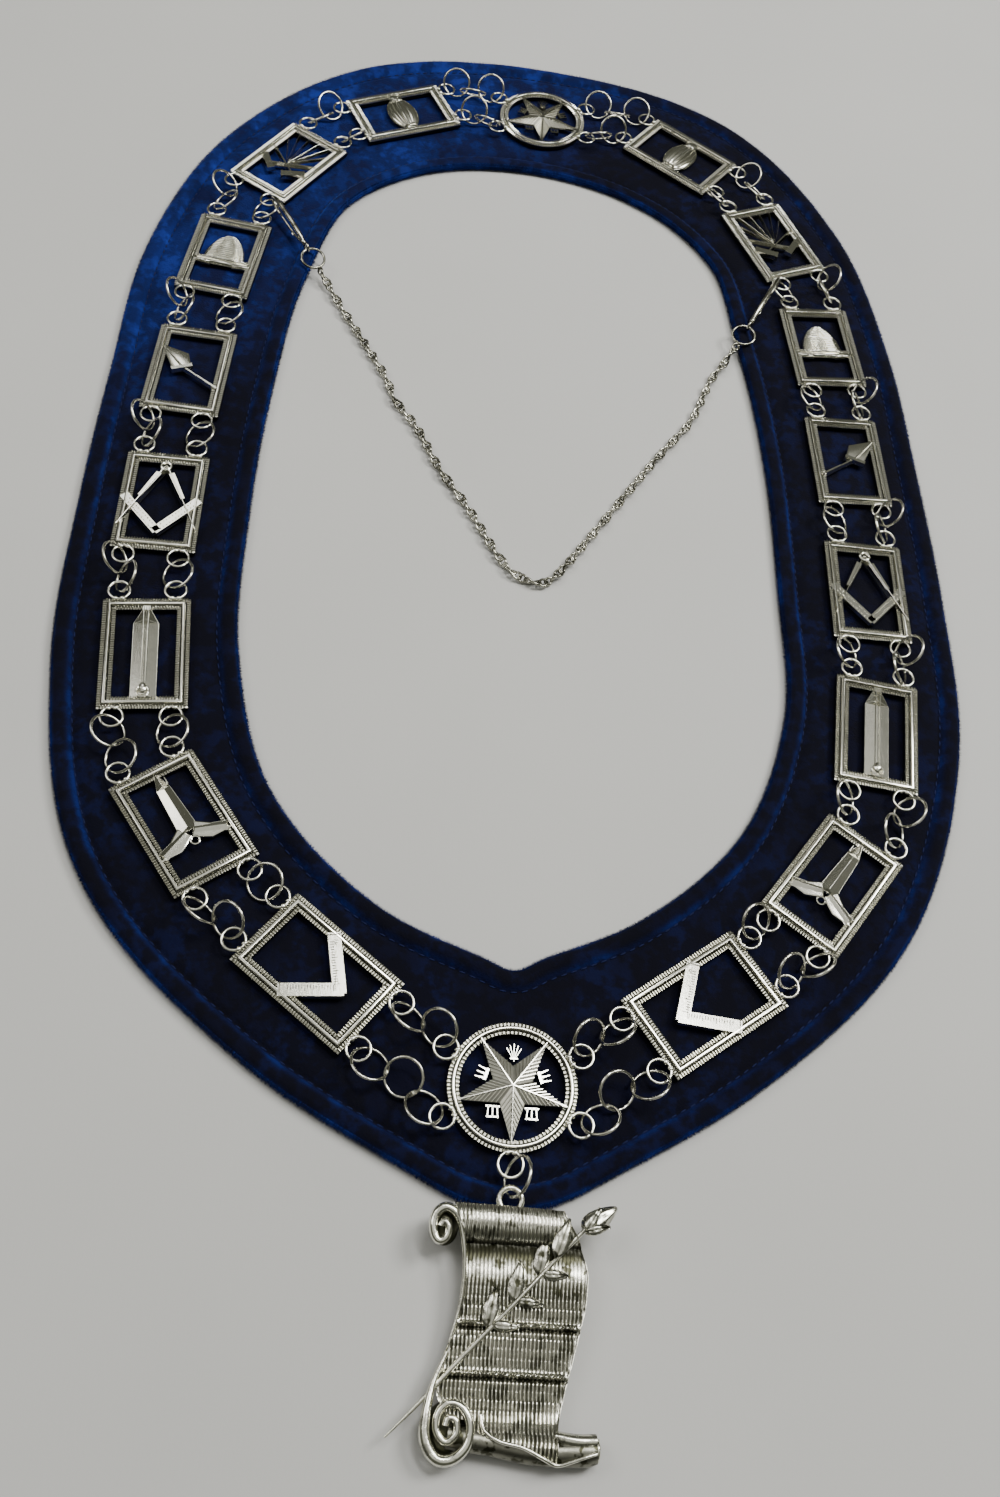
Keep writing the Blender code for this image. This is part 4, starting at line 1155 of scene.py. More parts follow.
def rib_between(top, foot, width=0.46, rise=0.62):
    """A thin ridge that lies on a facet from the star's ridge to its edge."""
    start = Vector(top) * MM
    end = Vector(foot) * MM
    piece = primitive("cube", "rib", size=1)
    put(piece, Matrix.Diagonal(((end - start).length, width * MM, rise * MM, 1)))
    open_piece(piece, lambda polygon: polygon.normal.z > 0.9)
    bpy.ops.transform.resize(value=(1, 0.35, 1), center_override=(0, 0, 0))
    close_piece()
    # The foot of each rib is painted dark: painted shade where the rib meets the facet.
    shade_and_dark_marks(piece, [0.0 if vertex.co.z > 0 else 0.9 for vertex in piece.data.vertices])
    turn = (end - start).to_track_quat("X", "Z").to_matrix().to_4x4()
    return put(piece, Matrix.Translation((start + end) / 2) @ turn)


def star_plate():
    """What the facets stand on: a flat star cut to the same outline."""
    outline = []
    for step in range(10):
        outline.append(tuple(polar(STAR_NOTCH - 0.1 if step % 2 else STAR_REACH, 270 + 36 * step)))
    return slab(outline, 0.7 * MM, 1.2 * MM, 0.05)


def badges():
    """A sheaf above, a three-pointed crown at each side and a small trestle board at each lower side."""
    pieces = []
    for angle in (-26, -13, 0, 13, 26):
        foot = np.array((0, 6.1)) + polar(0.4, 90 + angle)
        tip = np.array((0, 6.1)) + polar(5.4 - 0.03 * abs(angle), 90 - angle)
        pieces.append(strip(foot, tip, (0.42, 0.80), crest=0.2))
    pieces.append(strip((-1.1, 7.3), (1.1, 7.3), (0.7, 0.7), high=EMBLEM_TOP + 0.2 * MM, crest=0.5))
    for side in (1, -1):
        centre = np.array((8.4 * side, 3.0))
        out = np.array((0.95 * side, 0.31))
        across = np.array((-0.31 * side, 0.95))
        base = 1.7 * across
        pieces.append(strip(centre - base - 1.2 * out, centre + base - 1.2 * out, (1.2, 1.2), crest=0.6))
        for spread in (-1.5, 0, 1.5):
            foot = centre + 0.8 * spread * across - 0.8 * out
            pieces.append(strip(foot, centre + spread * across + 1.6 * out, (1.0, 0.4), crest=0.5))
        board = np.array((5.2 * side, -7.2))
        pieces.append(strip(board + (-1.9, 1.4), board + (1.9, 1.4), (0.7, 0.7), crest=0.6))
        pieces.append(strip(board + (-1.7, -1.4), board + (1.7, -1.4), (0.7, 0.7), crest=0.6))
        for offset in (-1.4, 0, 1.4):
            pieces.append(strip(board + (offset, -1.7), board + (offset * 0.8, 1.7), (0.55, 0.55), crest=0.5))
    return pieces


def make_medallion():
    rim = primitive("circle", "rim", vertices=96, radius=MEDALLION_RADIUS, fill_type="NGON")
    stepped_rail(rim, MEDALLION_STEPS, LAND_HEIGHT)
    soften(rim, 0.06 * MM, 30)
    shade_below(rim, LAND_HEIGHT)
    land = MEDALLION_STEPS[0][0] * MM
    width = sum(step for step, _ in MEDALLION_STEPS) * MM
    outer_ring = round_milling(MEDALLION_RADIUS - land / 2 + 0.05 * MM, OUTER_TEETH, 0.95 * MM)
    inner_ring = round_milling(MEDALLION_RADIUS - width + land / 2 - 0.05 * MM, INNER_TEETH, 0.95 * MM)
    round_parts = shaded(joined("rim", [rim, outer_ring, inner_ring]), 40)
    flat_parts = shaded(joined("star", [star_plate(), star(), *badges()]), 13)
    return joined("medallion", [round_parts, flat_parts])


def place_medallions():
    model = make_medallion()
    tilt = MEDALLION_EAR_ANGLE
    around = (tilt, -tilt, 180 - tilt, 180 + tilt)
    for where, centre, angles in (("bottom", BOTTOM_CENTRE, (*around, 270)), ("top", TOP_CENTRE, around)):
        ears = []
        for angle in angles:
            turn = Matrix.Rotation(math.radians(angle), 4, "Z")
            ears.append(copy_of(EAR, turn @ Matrix.Translation((MEDALLION_RADIUS, 0, 0))))
        piece = joined(f"star_medallion_{where}", [copy_of(model), *ears])
        put(piece, Matrix.Translation(centre))
        dress(piece, NICKEL, "collar", [f"medallion_{where}"])
    discard(model)


place_medallions()
discard(EAR)


# Jump rings: drawn nickel-plated wire, bent round and closed butt to butt. Each crosses the line between two
# ear holes and leans as far as the velvet under it allows, and neighbours lean to opposite sides.
RING_RADIUS = 5.25 * MM
RING_WIRE = 0.90 * MM
RING_FUSE = 0.12 * MM
RING_DIP = 1.8 * MM
LEAST_LEAN = math.radians(27)
MOST_LEAN = math.radians(50)
FIELD_CLEARANCE = 0.25 * MM
EAR_HEIGHT = BOTTOM_CENTRE.z + EAR_LEVEL
# How each ring of a run leans, from the lower ear to the upper one: + outwards, - inwards
LEANINGS = {
    ("plaque", "outer"): (-1.0, 1.08),
    ("plaque", "inner"): (-1.0,),
    ("medallion", "outer"): (1.0, -0.9, 1.0),
    ("medallion", "inner"): (1.0, -1.0),
}


def circle_points(centre, along, side, count=90):
    angles = 2 * math.pi * (np.arange(count) + 0.5) / count
    return centre + RING_RADIUS * (np.outer(np.cos(angles), along) + np.outer(np.sin(angles), side))


def ring_poses(start, end, outward_side, leanings, dip=RING_DIP):
    """Centre, axis along the run and axis across it of each ring between two ear holes."""
    start = np.array(start)
    end = np.array(end)
    span = np.linalg.norm(end - start)
    along = (end - start) / span
    across = np.cross(along, (0, 0, 1))
    across = across / np.linalg.norm(across)
    if np.dot(across, outward_side) < 0:
        across = -across
    above = np.cross(across, along)
    if above[2] < 0:
        above = -above
    count = len(leanings)
    touch = RING_WIRE - RING_FUSE
    shortest = 1.60 * RING_RADIUS if count > 1 else 1.70 * RING_RADIUS
    chord = min(1.995 * RING_RADIUS, max(shortest, (span + (count - 1) * touch) / count))
    offset = math.sqrt(RING_RADIUS**2 - chord**2 / 4)
    lean = math.asin(min(1.0, dip / (RING_RADIUS - offset)))
    lean = min(MOST_LEAN, max(LEAST_LEAN, lean))
    depth = (RING_RADIUS - offset) * math.sin(lean) + RING_WIRE / 2
    lift = max(0.0, FIELD_HEIGHT + FIELD_CLEARANCE + depth - min(start[2], end[2]))
    sides = []
    for leaning in leanings:
        turn = lean * abs(leaning)
        sides.append(math.copysign(math.cos(turn), leaning) * across + math.sin(turn) * above)
    places = [0.0]
    for index in range(1, count):
        near = 0.6 * chord
        far = chord + touch
        for _ in range(24):
            middle = (near + far) / 2
            first = circle_points(offset * sides[index - 1], along, sides[index - 1])
            second = circle_points(middle * along + offset * sides[index], along, sides[index])
            least = np.linalg.norm(first[:, None, :] - second[None, :, :], axis=2).min()
            if chord > middle and least > touch:
                near = middle
            else:
                far = middle
        places.append(places[-1] + (near + far) / 2)
    middle_point = (start + end) / 2 + (0, 0, lift)
    return [
        (middle_point + (place - places[-1] / 2) * along + offset * side, along, side)
        for place, side in zip(places, sides)
    ]


def plaque_hole(half, number, end, outer):
    """The centre of an ear's hole: end 1 towards the top medallion, outer 1 outside the chain."""
    centre, u = SEATS[half][number - 1]
    v = Vector((-u.y, u.x, 0)) * (1 if half == "left" else -1)
    level = Vector((centre.x, centre.y, EAR_HEIGHT))
    return level + u * end * (PLAQUE_LENGTH / 2 + EAR_REACH) + v * outer * EAR_SPREAD


def medallion_hole(centre, angle):
    turn = math.radians(angle)
    reach = MEDALLION_RADIUS + EAR_REACH
    return Vector((centre.x + reach * math.cos(turn), centre.y + reach * math.sin(turn), EAR_HEIGHT))


def jump_ring():
    """A round wire swept once round, with the hairline gap of its butt joint."""
    piece = primitive("circle", "jump_ring", vertices=10, radius=RING_WIRE / 2, fill_type="NGON",
                      location=(RING_RADIUS, 0, 0), rotation=(math.pi / 2, 0, 0))
    open_piece(piece)
    bpy.ops.mesh.spin(steps=40, angle=math.radians(358.2), center=(0, 0, 0), axis=(0, 0, 1))
    bpy.ops.mesh.select_all(action="SELECT")
    bpy.ops.mesh.remove_doubles(threshold=0.002 * MM)
    bpy.ops.mesh.normals_make_consistent(inside=False)
    close_piece()
    return piece


def wire_look(name, bright, dark):
    """Drawn wire: smooth along its length, with worn bright spots and dull patches."""
    look = Look(name, {"Metallic": 1.0})
    patches = look.noise(2.4 * MM, 3)
    spots = look.noise(0.5 * MM, 2)
    dull = look.band(patches, 0.40, 0.70)
    look.set("Base Color", look.mix(dull, bright, dark))
    look.set("Roughness", 0.13 + dull * 0.12 + look.band(spots, 0.5, 0.8) * 0.06)
    look.bump(spots, 0.006 * MM, 0.4)
    return look.material


WIRE = wire_look("bright_wire", (0.74, 0.73, 0.66), (0.42, 0.405, 0.34))
JUMP_RING = jump_ring()
GOLDEN_TURN = 2.39996


def ring_matrix(pose, spin):
    centre, along, side = pose
    turn = Matrix((Vector(along), Vector(side), Vector(np.cross(along, side)))).transposed().to_4x4()
    return Matrix.Translation(Vector(centre)) @ turn @ Matrix.Rotation(spin, 4, "Z")


def ring_run(name, node, poses, seed):
    rings = []
    for index, pose in enumerate(poses):
        rings.append(copy_of(JUMP_RING, ring_matrix(pose, GOLDEN_TURN * (seed + index))))
    piece = shaded(joined(name, rings), 45)
    return dress(piece, WIRE, "collar", [node])


def runs_between_plaques(half):
    outward = (-1, 0, 0) if half == "left" else (1, 0, 0)
    for lower in range(1, 8):
        for label, outer in (("outer", 1), ("inner", -1)):
            start = plaque_hole(half, lower, 1, outer)
            end = plaque_hole(half, lower + 1, -1, outer)
            poses = ring_poses(start, end, outward, LEANINGS["plaque", label])
            yield f"{half}_{lower}_{lower + 1}_{label}", poses


def runs_beside_medallions(half):
    for where, centre, number, end in (("bottom", BOTTOM_CENTRE, 1, -1), ("top", TOP_CENTRE, 8, 1)):
        for label, outer in (("outer", 1), ("inner", -1)):
            tilt = end * outer * MEDALLION_EAR_ANGLE
            start = medallion_hole(centre, tilt if half == "right" else 180 - tilt)
            hole = plaque_hole(half, number, end, outer)
            poses = ring_poses(start, hole, (0, end * outer, 0), LEANINGS["medallion", label])
            yield f"{half}_{where}_{label}", poses


RUNS = {}
for half_name in ("left", "right"):
    for run_name, run_poses in (*runs_between_plaques(half_name), *runs_beside_medallions(half_name)):
        RUNS[run_name] = run_poses
        ring_run(f"jump_rings_{run_name}", f"rings_{run_name}", run_poses, len(RUNS))


# Fine chain: a light twisted curb chain that lies across the neck opening, with a plain ring at each end and
# a hook clasp in each ring. The clasps hold the inner jump rings beside the beehive plaques.
CHAIN_PITCH = 2.3 * MM
LINK_LENGTH = 4.1 * MM
LINK_WIDTH = 3.4 * MM
LINK_WIRE = 0.48 * MM
LUMP_SPACING = 7.7 * MM
END_RING_RADIUS = 4.3 * MM
END_RING_WIRE = 1.0 * MM
CLASP_LENGTH = 26.0 * MM
CLASP_WIRE = 1.5 * MM
CLASP_RISE = 2.2 * MM
LEVER_WIRE = 1.0 * MM
EYE_RADIUS = 1.5 * MM
EYE_WIRE = 1.0 * MM
HELD_SHARE = 0.81
ROLL_HEIGHT = 4.2 * MM
# The chain's route from the left end ring to the right one, in mm from the point between the medallions
CHAIN_ROUTE = (
    (-82.0, 100.0, 4.2),
    (-76.5, 91.5, 2.2),
    (-70.9, 81.6, 1.8),
    (-54.3, 53.2, 1.8),
    (-49.1, 40.7, 1.8),
    (-40.1, 27.8, 1.8),
    (-31.3, 10.5, 1.8),
    (-20.5, -5.8, 1.8),
    (-9.2, -25.4, 1.8),
    (-2.0, -32.5, 1.8),
    (6.0, -33.5, 1.8),
    (12.0, -27.0, 1.8),
    (21.5, -12.0, 1.8),
    (30.9, 3.3, 1.8),
    (45.9, 27.5, 1.8),
    (58.2, 46.1, 1.8),
    (66.2, 66.8, 1.8),
    (70.8, 75.0, 2.2),
    (75.7, 82.8, 4.2),
)
# The clasp's back bar and its lever, along and up, as shares of CLASP_LENGTH and CLASP_RISE
HOOK = (
    (-0.01, 0.0),
    (0.12, 0.55),
    (0.30, 1.0),
    (0.62, 1.05),
    (0.86, 0.95),
    (0.97, 0.45),
    (0.99, -0.15),
    (0.93, -0.75),
    (0.83, -1.0),
    (0.74, -1.0),
)
LEVER = ((0.10, -0.32), (0.24, -0.92), (0.50, -1.0), (0.725, -1.0))
UP = Vector((0, 0, 1))


def route_points(row):
    return MIDPOINT + Vector(row) * MM


def clasp_frame(pose, chain_end):
    """The clasp's own axes: along from eye to hook, across and up. The hook holds the ring's inner side."""
    centre, _, side = pose
    held = Vector(centre + RING_RADIUS * side)
    towards = Vector((held.x - chain_end.x, held.y - chain_end.y, 0)).normalized()
    length = HELD_SHARE * CLASP_LENGTH
    slope = math.asin(min(0.4, (held.z - ROLL_HEIGHT - CLASP_RISE) / length))
    along = towards * math.cos(slope) + UP * math.sin(slope)
    across = UP.cross(towards).normalized()
    turn = Matrix((along, across, along.cross(across).normalized())).transposed().to_4x4()
    return Matrix.Translation(held - along * length) @ turn


def wire_along(name, points, radii, sides=12):
    """A round wire on a smooth curve through the points, as thick at each as its radius says, made a mesh."""
    curve = bpy.data.curves.new(name, "CURVE")
    curve.dimensions = "3D"
    curve.bevel_depth = 1.0
    curve.bevel_resolution = sides // 4
    curve.resolution_u = 6
    curve.use_fill_caps = True
    spline = curve.splines.new("NURBS")
    spline.points.add(len(points) - 1)
    for point, place, radius in zip(spline.points, points, radii):
        point.co = (*place, 1)
        point.radius = radius
    spline.order_u = 3
    spline.use_endpoint_u = True
    piece = bpy.data.objects.new(name, curve)
    bpy.context.scene.collection.objects.link(piece)
    select_only(piece)
    bpy.ops.object.convert(target="MESH")
    return turned_out(bpy.context.object)


def clasp_points(rows, place):
    return [place @ Vector((along * CLASP_LENGTH, 0, up * CLASP_RISE)) for along, up in rows]


def standing_ring(name, centre, along, side, radius, wire):
    piece = primitive("torus", name, major_radius=radius, minor_radius=wire / 2, major_segments=36,
                      minor_segments=10)
    turn = Matrix((along, side, along.cross(side))).transposed().to_4x4()
    return put(piece, Matrix.Translation(centre) @ turn)


def clasp_body(place):
    """The back bar with its hook, its eye, and the ball beside the eye where the lever has its foot."""
    axes = place.to_3x3()
    thick = [0.52, 0.62, 0.60, 0.52, 0.52, 0.50, 0.48, 0.44, 0.42, 0.40]
    bar = wire_along("clasp_bar", clasp_points(HOOK, place), [share * CLASP_WIRE for share in thick], 16)
    eye_centre = place @ Vector((-EYE_RADIUS, 0, 0))
    eye = standing_ring("clasp_eye", eye_centre, axes.col[0], axes.col[2], EYE_RADIUS, EYE_WIRE)
    collar = primitive("uv_sphere", "clasp_ball", segments=16, ring_count=10, radius=1)
    size = Matrix.Diagonal((1.5 * MM, 0.95 * MM, 0.95 * MM, 1))
    put(collar, place @ Matrix.Translation((0.045 * CLASP_LENGTH, 0, 0.2 * CLASP_RISE)) @ size)
    return [bar, eye, collar]


def lever_piece(half, place):
    """The clasp's lever, a thin round tongue with a thumb tab a third of the way along."""
    radii = [share * LEVER_WIRE for share in (0.50, 0.46, 0.42, 0.40)]
    tongue = wire_along(f"lever_{half}", clasp_points(LEVER, place), radii)
    tab = primitive("uv_sphere", "tab", segments=12, ring_count=8, radius=1)
    size = Matrix.Diagonal((1.3 * MM, 0.75 * MM, 0.35 * MM, 1))
    put(tab, place @ Matrix.Translation((0.34 * CLASP_LENGTH, 0, -1.12 * CLASP_RISE)) @ size)
    piece = joined(f"clasp_tongue_{half}", [tongue, tab])
    piece.data.shade_smooth()
    return dress(piece, WIRE, f"lever_{half}", [f"clasp_lever_{half}"])


def chain_link():
    """One oval link of round wire, twisted by 75 degrees from end to end."""
    thin = 0.25
    link = primitive("torus", "link", major_radius=1.0, minor_radius=thin, major_segments=18,
                     minor_segments=6)
    wide = (LINK_WIDTH - 2 * LINK_WIRE) / 2
    long = (LINK_LENGTH - 2 * LINK_WIRE) / 2
    for vertex in link.data.vertices:
        radial = math.hypot(vertex.co.x, vertex.co.y)
        cos, sin = vertex.co.x / radial, vertex.co.y / radial
        rise = (radial - 1.0) / thin * LINK_WIRE
        vertex.co = (cos * (long + rise), sin * (wide + rise), vertex.co.z / thin * LINK_WIRE)
    apply_modifier(link, "SIMPLE_DEFORM", deform_method="TWIST", deform_axis="X", angle=math.radians(75))
    return link


def even_route(places, pitch):
    """Points at an even pitch on a smooth curve through the route's own points."""
    rows = [np.array(place) for place in places]
    padded = [2 * rows[0] - rows[1], *rows, 2 * rows[-1] - rows[-2]]
    dense = []
    for index in range(len(rows) - 1):
        dense += [smooth_between(*padded[index : index + 4], step / 16) for step in range(16)]
    dense = np.array([*dense, rows[-1]])
    lengths = np.concatenate([[0], np.cumsum(np.linalg.norm(np.diff(dense[:, :3], axis=0), axis=1))])
    count = round(lengths[-1] / pitch)
    wanted = np.linspace(0, lengths[-1], count + 1)
    return np.stack([np.interp(wanted, lengths, column) for column in dense.T], axis=1)


def lay_links(start, end):
    link = chain_link()
    places = [start, *(route_points(row) for row in CHAIN_ROUTE[1:-1]), end]
    route = even_route(places, CHAIN_PITCH)
    links = []
    for index in range(1, len(route) - 1):
        along = Vector(route[index + 1] - route[index - 1]).normalized()
        across = UP.cross(along).normalized()
        turn = Matrix((along, across, along.cross(across))).transposed().to_4x4()
        roll = math.pi * index * CHAIN_PITCH / LUMP_SPACING + 0.5 * math.sin(0.31 * index + 1.0)
        links.append(copy_of(link, Matrix.Translation(route[index]) @ turn @ Matrix.Rotation(roll, 4, "X")))
    discard(link)
    return links


def make_fine_chain():
    pieces = []
    ends = []
    for half, row in (("left", CHAIN_ROUTE[0]), ("right", CHAIN_ROUTE[-1])):
        chain_end = route_points(row)
        place = clasp_frame(RUNS[f"{half}_6_7_inner"][0], chain_end)
        pieces += clasp_body(place)
        lever_piece(half, place)
        eye_centre = place @ Vector((-EYE_RADIUS, 0, 0))
        along = (eye_centre - chain_end).normalized()
        near = eye_centre - along * (EYE_RADIUS - (EYE_WIRE + END_RING_WIRE) / 2 + 3 * RING_FUSE)
        centre = near - along * END_RING_RADIUS
        side = UP.cross(along).normalized()
        pieces.append(standing_ring("end_ring", centre, along, side, END_RING_RADIUS, END_RING_WIRE))
        ends.append(centre - along * END_RING_RADIUS)
    pieces += lay_links(*ends)
    piece = shaded(joined("curb_chain", pieces), 65)
    # The chain's wire has a darker colour than the jump rings' wire: painted dark reflections.
    darkened_wire = wire_look("chain_wire_painted_dark", (0.50, 0.49, 0.42), (0.10, 0.098, 0.075))
    dress(piece, darkened_wire, "collar", ["fine_chain"])


make_fine_chain()


# Scroll pendant: a casting of a half-rolled sheet, ribbed with plain writing lines, its left corners rolled
# into volutes, with a sprig of leaves laid across it. One ring joins its bail to the bottom medallion.
PENDANT_SLOPE = math.radians(4.3)
PENDANT_HEIGHT = 58.0
PENDANT_ROLL = 3.4
BAIL_RADIUS = 2.9
BAIL_WIRE = 1.6
BAIL_HOLD = 0.8 * MM
# Height below the bail, left edge and right edge of the sheet, in mm
SHEET_EDGES = (
    (1.4, -14.6, 13.0),
    (5.0, -13.2, 14.6),
    (9.5, -11.4, 17.8),
    (16.0, -10.6, 20.4),
    (24.0, -10.9, 19.9),
    (31.0, -12.6, 18.2),
    (38.0, -15.4, 16.4),
    (45.0, -16.6, 14.6),
    (51.0, -12.6, 13.2),
    (60.0, -9.5, 13.0),
)
# How far down the sheet's lower lip lies, from its left edge to its right one
SHEET_END = ((0.0, 50.5), (0.17, 50.5), (0.24, 53.1), (0.39, 54.9), (0.64, 56.0), (0.85, 58.1), (1.0, 59.4))
FOLDS = (29.3, 40.4)
RIB_PITCH = 0.98
LINE_PITCH = 2.3
# The raised lips that run along the sheet's left edge and wind in at its rolled corners, as rows of x, y,
# height and radius
TOP_LIP = (
    (-13.6, -34.0, 0.6, 0.35), (-11.4, -25.0, 1.0, 0.45), (-10.9, -16.0, 1.4, 0.5), (-11.8, -9.0, 1.9, 0.8),
    (-13.4, -4.6, 2.1, 1.1), (-16.2, -2.9, 2.1, 1.2), (-18.7, -4.6, 2.0, 1.2), (-19.2, -8.2, 2.0, 1.15),
    (-17.9, -10.9, 2.0, 1.05), (-15.9, -10.2, 2.1, 1.0), (-15.4, -7.8, 2.3, 0.9), (-16.6, -6.2, 2.4, 0.85),
    (-17.4, -7.6, 2.4, 0.8),
)
LOW_LIP = (
    (-14.0, -36.0, 0.6, 0.45), (-16.9, -43.0, 1.2, 0.8), (-18.2, -49.5, 1.8, 1.25), (-18.2, -55.0, 2.0, 1.5),
    (-15.6, -58.8, 2.0, 1.5), (-11.8, -59.0, 2.1, 1.4), (-8.4, -56.0, 2.3, 1.3), (-7.8, -51.4, 2.4, 1.2),
    (-10.0, -47.8, 2.4, 1.1), (-13.4, -47.2, 2.4, 1.0), (-15.6, -49.8, 2.5, 1.0), (-15.6, -53.2, 2.5, 1.0),
    (-13.4, -55.4, 2.6, 1.0), (-11.0, -53.6, 2.8, 0.95), (-11.2, -50.8, 2.9, 0.9), (-13.0, -50.2, 3.0, 0.9),
    (-13.6, -52.0, 3.0, 0.9),
)
# The sheet's lower lip, wavy where it lies on the roll
LOW_EDGE = (
    (-5.4, -49.4, 2.2, 0.45), (-4.4, -52.6, 2.9, 0.5), (-0.9, -54.7, 3.6, 0.5), (4.7, -55.8, 3.7, 0.5),
    (9.4, -57.8, 3.3, 0.5), (12.9, -59.2, 2.5, 0.5), (16.2, -58.4, 3.0, 0.45), (19.8, -57.2, 3.4, 0.4),
    (22.4, -56.4, 3.3, 0.4),
)
# The lower roll's middle line, from left to right
LOW_SPINE = ((-13.0, -54.0, 0), (-2.0, -55.2, 0), (8.0, -56.6, 0), (18.0, -56.4, 0), (22.6, -55.8, 0))
# The raised right end of the lower roll
SHOULDER = ((12.6, -53.2, 1.4, 1.3), (17.4, -53.9, 1.8, 1.5), (22.4, -53.8, 1.5, 1.6))
# The sprig's stem, then root and tip of each leaf, in mm from the bail's centre
SPRIG = ((-27.6, -55.0), (-20.5, -48.1), (-9.9, -36.5), (1.9, -24.4), (14.4, -11.0), (20.1, -5.2))
LEAVES = (
    ((11.4, -13.9), (14.8, -4.1)),
    ((7.6, -18.0), (9.5, -8.1)),
    ((1.5, -24.4), (3.0, -14.5)),
    ((-4.6, -30.7), (-3.0, -20.9)),
    ((8.4, -17.4), (15.2, -17.4)),
    ((2.3, -23.8), (9.1, -24.4)),
    ((-3.6, -29.6), (3.4, -29.9)),
)


def pendant_matrix():
    """Lays the pendant with its lower roll on the table and its bail above the band's point."""
    height = (PENDANT_ROLL + 0.955 * PENDANT_HEIGHT * math.sin(PENDANT_SLOPE)) * MM
    drop = MEDALLION_RADIUS + EAR_REACH + 1.60 * RING_RADIUS + BAIL_HOLD
    place = Vector((MIDPOINT.x, BOTTOM_CENTRE.y - drop, height))
    return Matrix.Translation(place) @ Matrix.Rotation(PENDANT_SLOPE, 4, "X")


def sheet_edges(down):
    """Left and right edge of the sheet at a depth below the bail, without kinks."""
    places, left, right = np.array(SHEET_EDGES).T
    shifts = (-2.4, -1.2, 0, 1.2, 2.4)

    def eased(edge):
        return sum(np.interp(down + shift, places, edge) for shift in shifts) / len(shifts)

    return eased(left), eased(right)


def rolled_top(down):
    """Height of the sheet's upper end, which turns over a round roll and runs into the flat below it."""
    share = np.clip(np.abs(down - 6.0) / 4.9, 0, 1)
    return 3.1 * np.sqrt(1 - share**2)


def rolled_foot(down):
    """Height of the sheet's lower end where it climbs over the roll below."""
    return 3.2 * np.exp(-(((down - 56) / 4.6) ** 2))


def strokes(x, down):
    """Lines of short upright strokes, from 0 between them to 1 on their crests."""
    line = np.floor(down / LINE_PITCH)
    upright = 0.5 + 0.5 * np.sin(2 * np.pi * x / RIB_PITCH + 0.5 * np.sin(2.1 * line))
    gap = np.abs(down / LINE_PITCH - line - 0.5) * 2
    return np.clip(upright * 1.35 - 0.15, 0, 1) * (0.80 + 0.20 * np.clip((1.0 - gap) / 0.25, 0, 1))


def stroke_depth(down):
    """How deep the strokes are cut: finely over the rolled top, hardly at all in the hollow below it."""
    top = np.clip((11 - down) / 2, 0, 1)
    body = np.clip((down - 18) / 5, 0, 1)
    return 0.20 * top + 0.08 * (1 - top) * (1 - body) + 0.40 * body


def sheet_relief(x, y, across):
    """Height of the sheet's face without its edges: rolled ends, a slight crown, strokes and two folds."""
    down = -y
    inside = np.clip(np.minimum(across, 1 - across) / 0.05, 0, 1)
    crown = 0.8 * np.sin(np.pi * np.clip(across, 0, 1)) * np.clip((56 - down) / 8, 0, 1)
    relief = (strokes(x, down) - 0.5) * stroke_depth(down)
    for place in FOLDS:
        relief = relief * (1 - np.exp(-(((down - place) / 0.8) ** 2)))
        relief = relief + 0.75 * np.exp(-(((down - place) / 0.45) ** 2))
        relief = relief - 0.55 * np.exp(-(((down - place - 1.05) / 0.40) ** 2))
    sag = -0.9 * np.exp(-(((down - 13.0) / 3.0) ** 2))
    return crown + rolled_top(down) + rolled_foot(down) + relief * inside + sag


def scroll_sheet():
    """The sheet as a fine grid drawn to its outline, raised to its relief, with its thickness below."""
    sheet = primitive("grid", "sheet", x_subdivisions=200, y_subdivisions=190, size=1)
    open_piece(sheet)
    bpy.ops.mesh.extrude_region_move(TRANSFORM_OT_translate={"value": (0, 0, 1)})
    bpy.ops.mesh.select_all(action="SELECT")
    bpy.ops.mesh.normals_make_consistent(inside=False)
    close_piece()
    points = np.array([vertex.co for vertex in sheet.data.vertices])
    across = points[:, 0] + 0.5
    start = SHEET_EDGES[0][0] + 0.9 * across
    down = start + (0.5 - points[:, 1]) * (np.interp(across, *np.array(SHEET_END).T) - start)
    left, right = sheet_edges(down)
    x = left + across * (right - left)
    lips = 0.45 * np.exp(-((across / 0.012) ** 2)) + 0.45 * np.exp(-(((1 - across) / 0.012) ** 2))
    face = 0.2 + sheet_relief(x, -down, across) + lips
    under = 0.8 * rolled_top(down) + 0.9 * rolled_foot(down) - 1.5
    above = points[:, 2] > 0.5
    # Painted shade: hollow darkens the slope below the rolled top, gap_shade the gaps between the strokes and
    # the foot of each fold.
    hollow = np.exp(-(((down - 13.0) / 2.4) ** 2)) + 0.5 * np.exp(-(((down - 20.0) / 4.0) ** 2))
    gap_shade = 0.95 * (1 - strokes(x, down)) * np.clip(stroke_depth(down) * 3.2, 0, 1)
    for place in FOLDS:
        gap_shade = gap_shade * (1 - np.exp(-(((down - place) / 0.6) ** 2)))
        gap_shade = gap_shade + 0.8 * np.exp(-(((down - place - 1.05) / 0.4) ** 2))
    edged = np.clip(np.minimum(across, 1 - across) / 0.03, 0, 1)
    shade_and_dark_marks(sheet, np.clip((hollow + gap_shade) * edged, 0, 1) * above)
    z = np.where(above, face, under)
    sheet.data.vertices.foreach_set("co", (np.stack([x, -down, z], axis=1) * MM).ravel())
    sheet.data.update()
    return sheet


def lip_along(name, rows):
    """A raised lip like a wire through rows of x, y, height and radius."""
    line = even_route(rows, 0.8)
    return wire_along(name, [Vector(place[:3]) * MM for place in line], line[:, 3] * MM, 10)


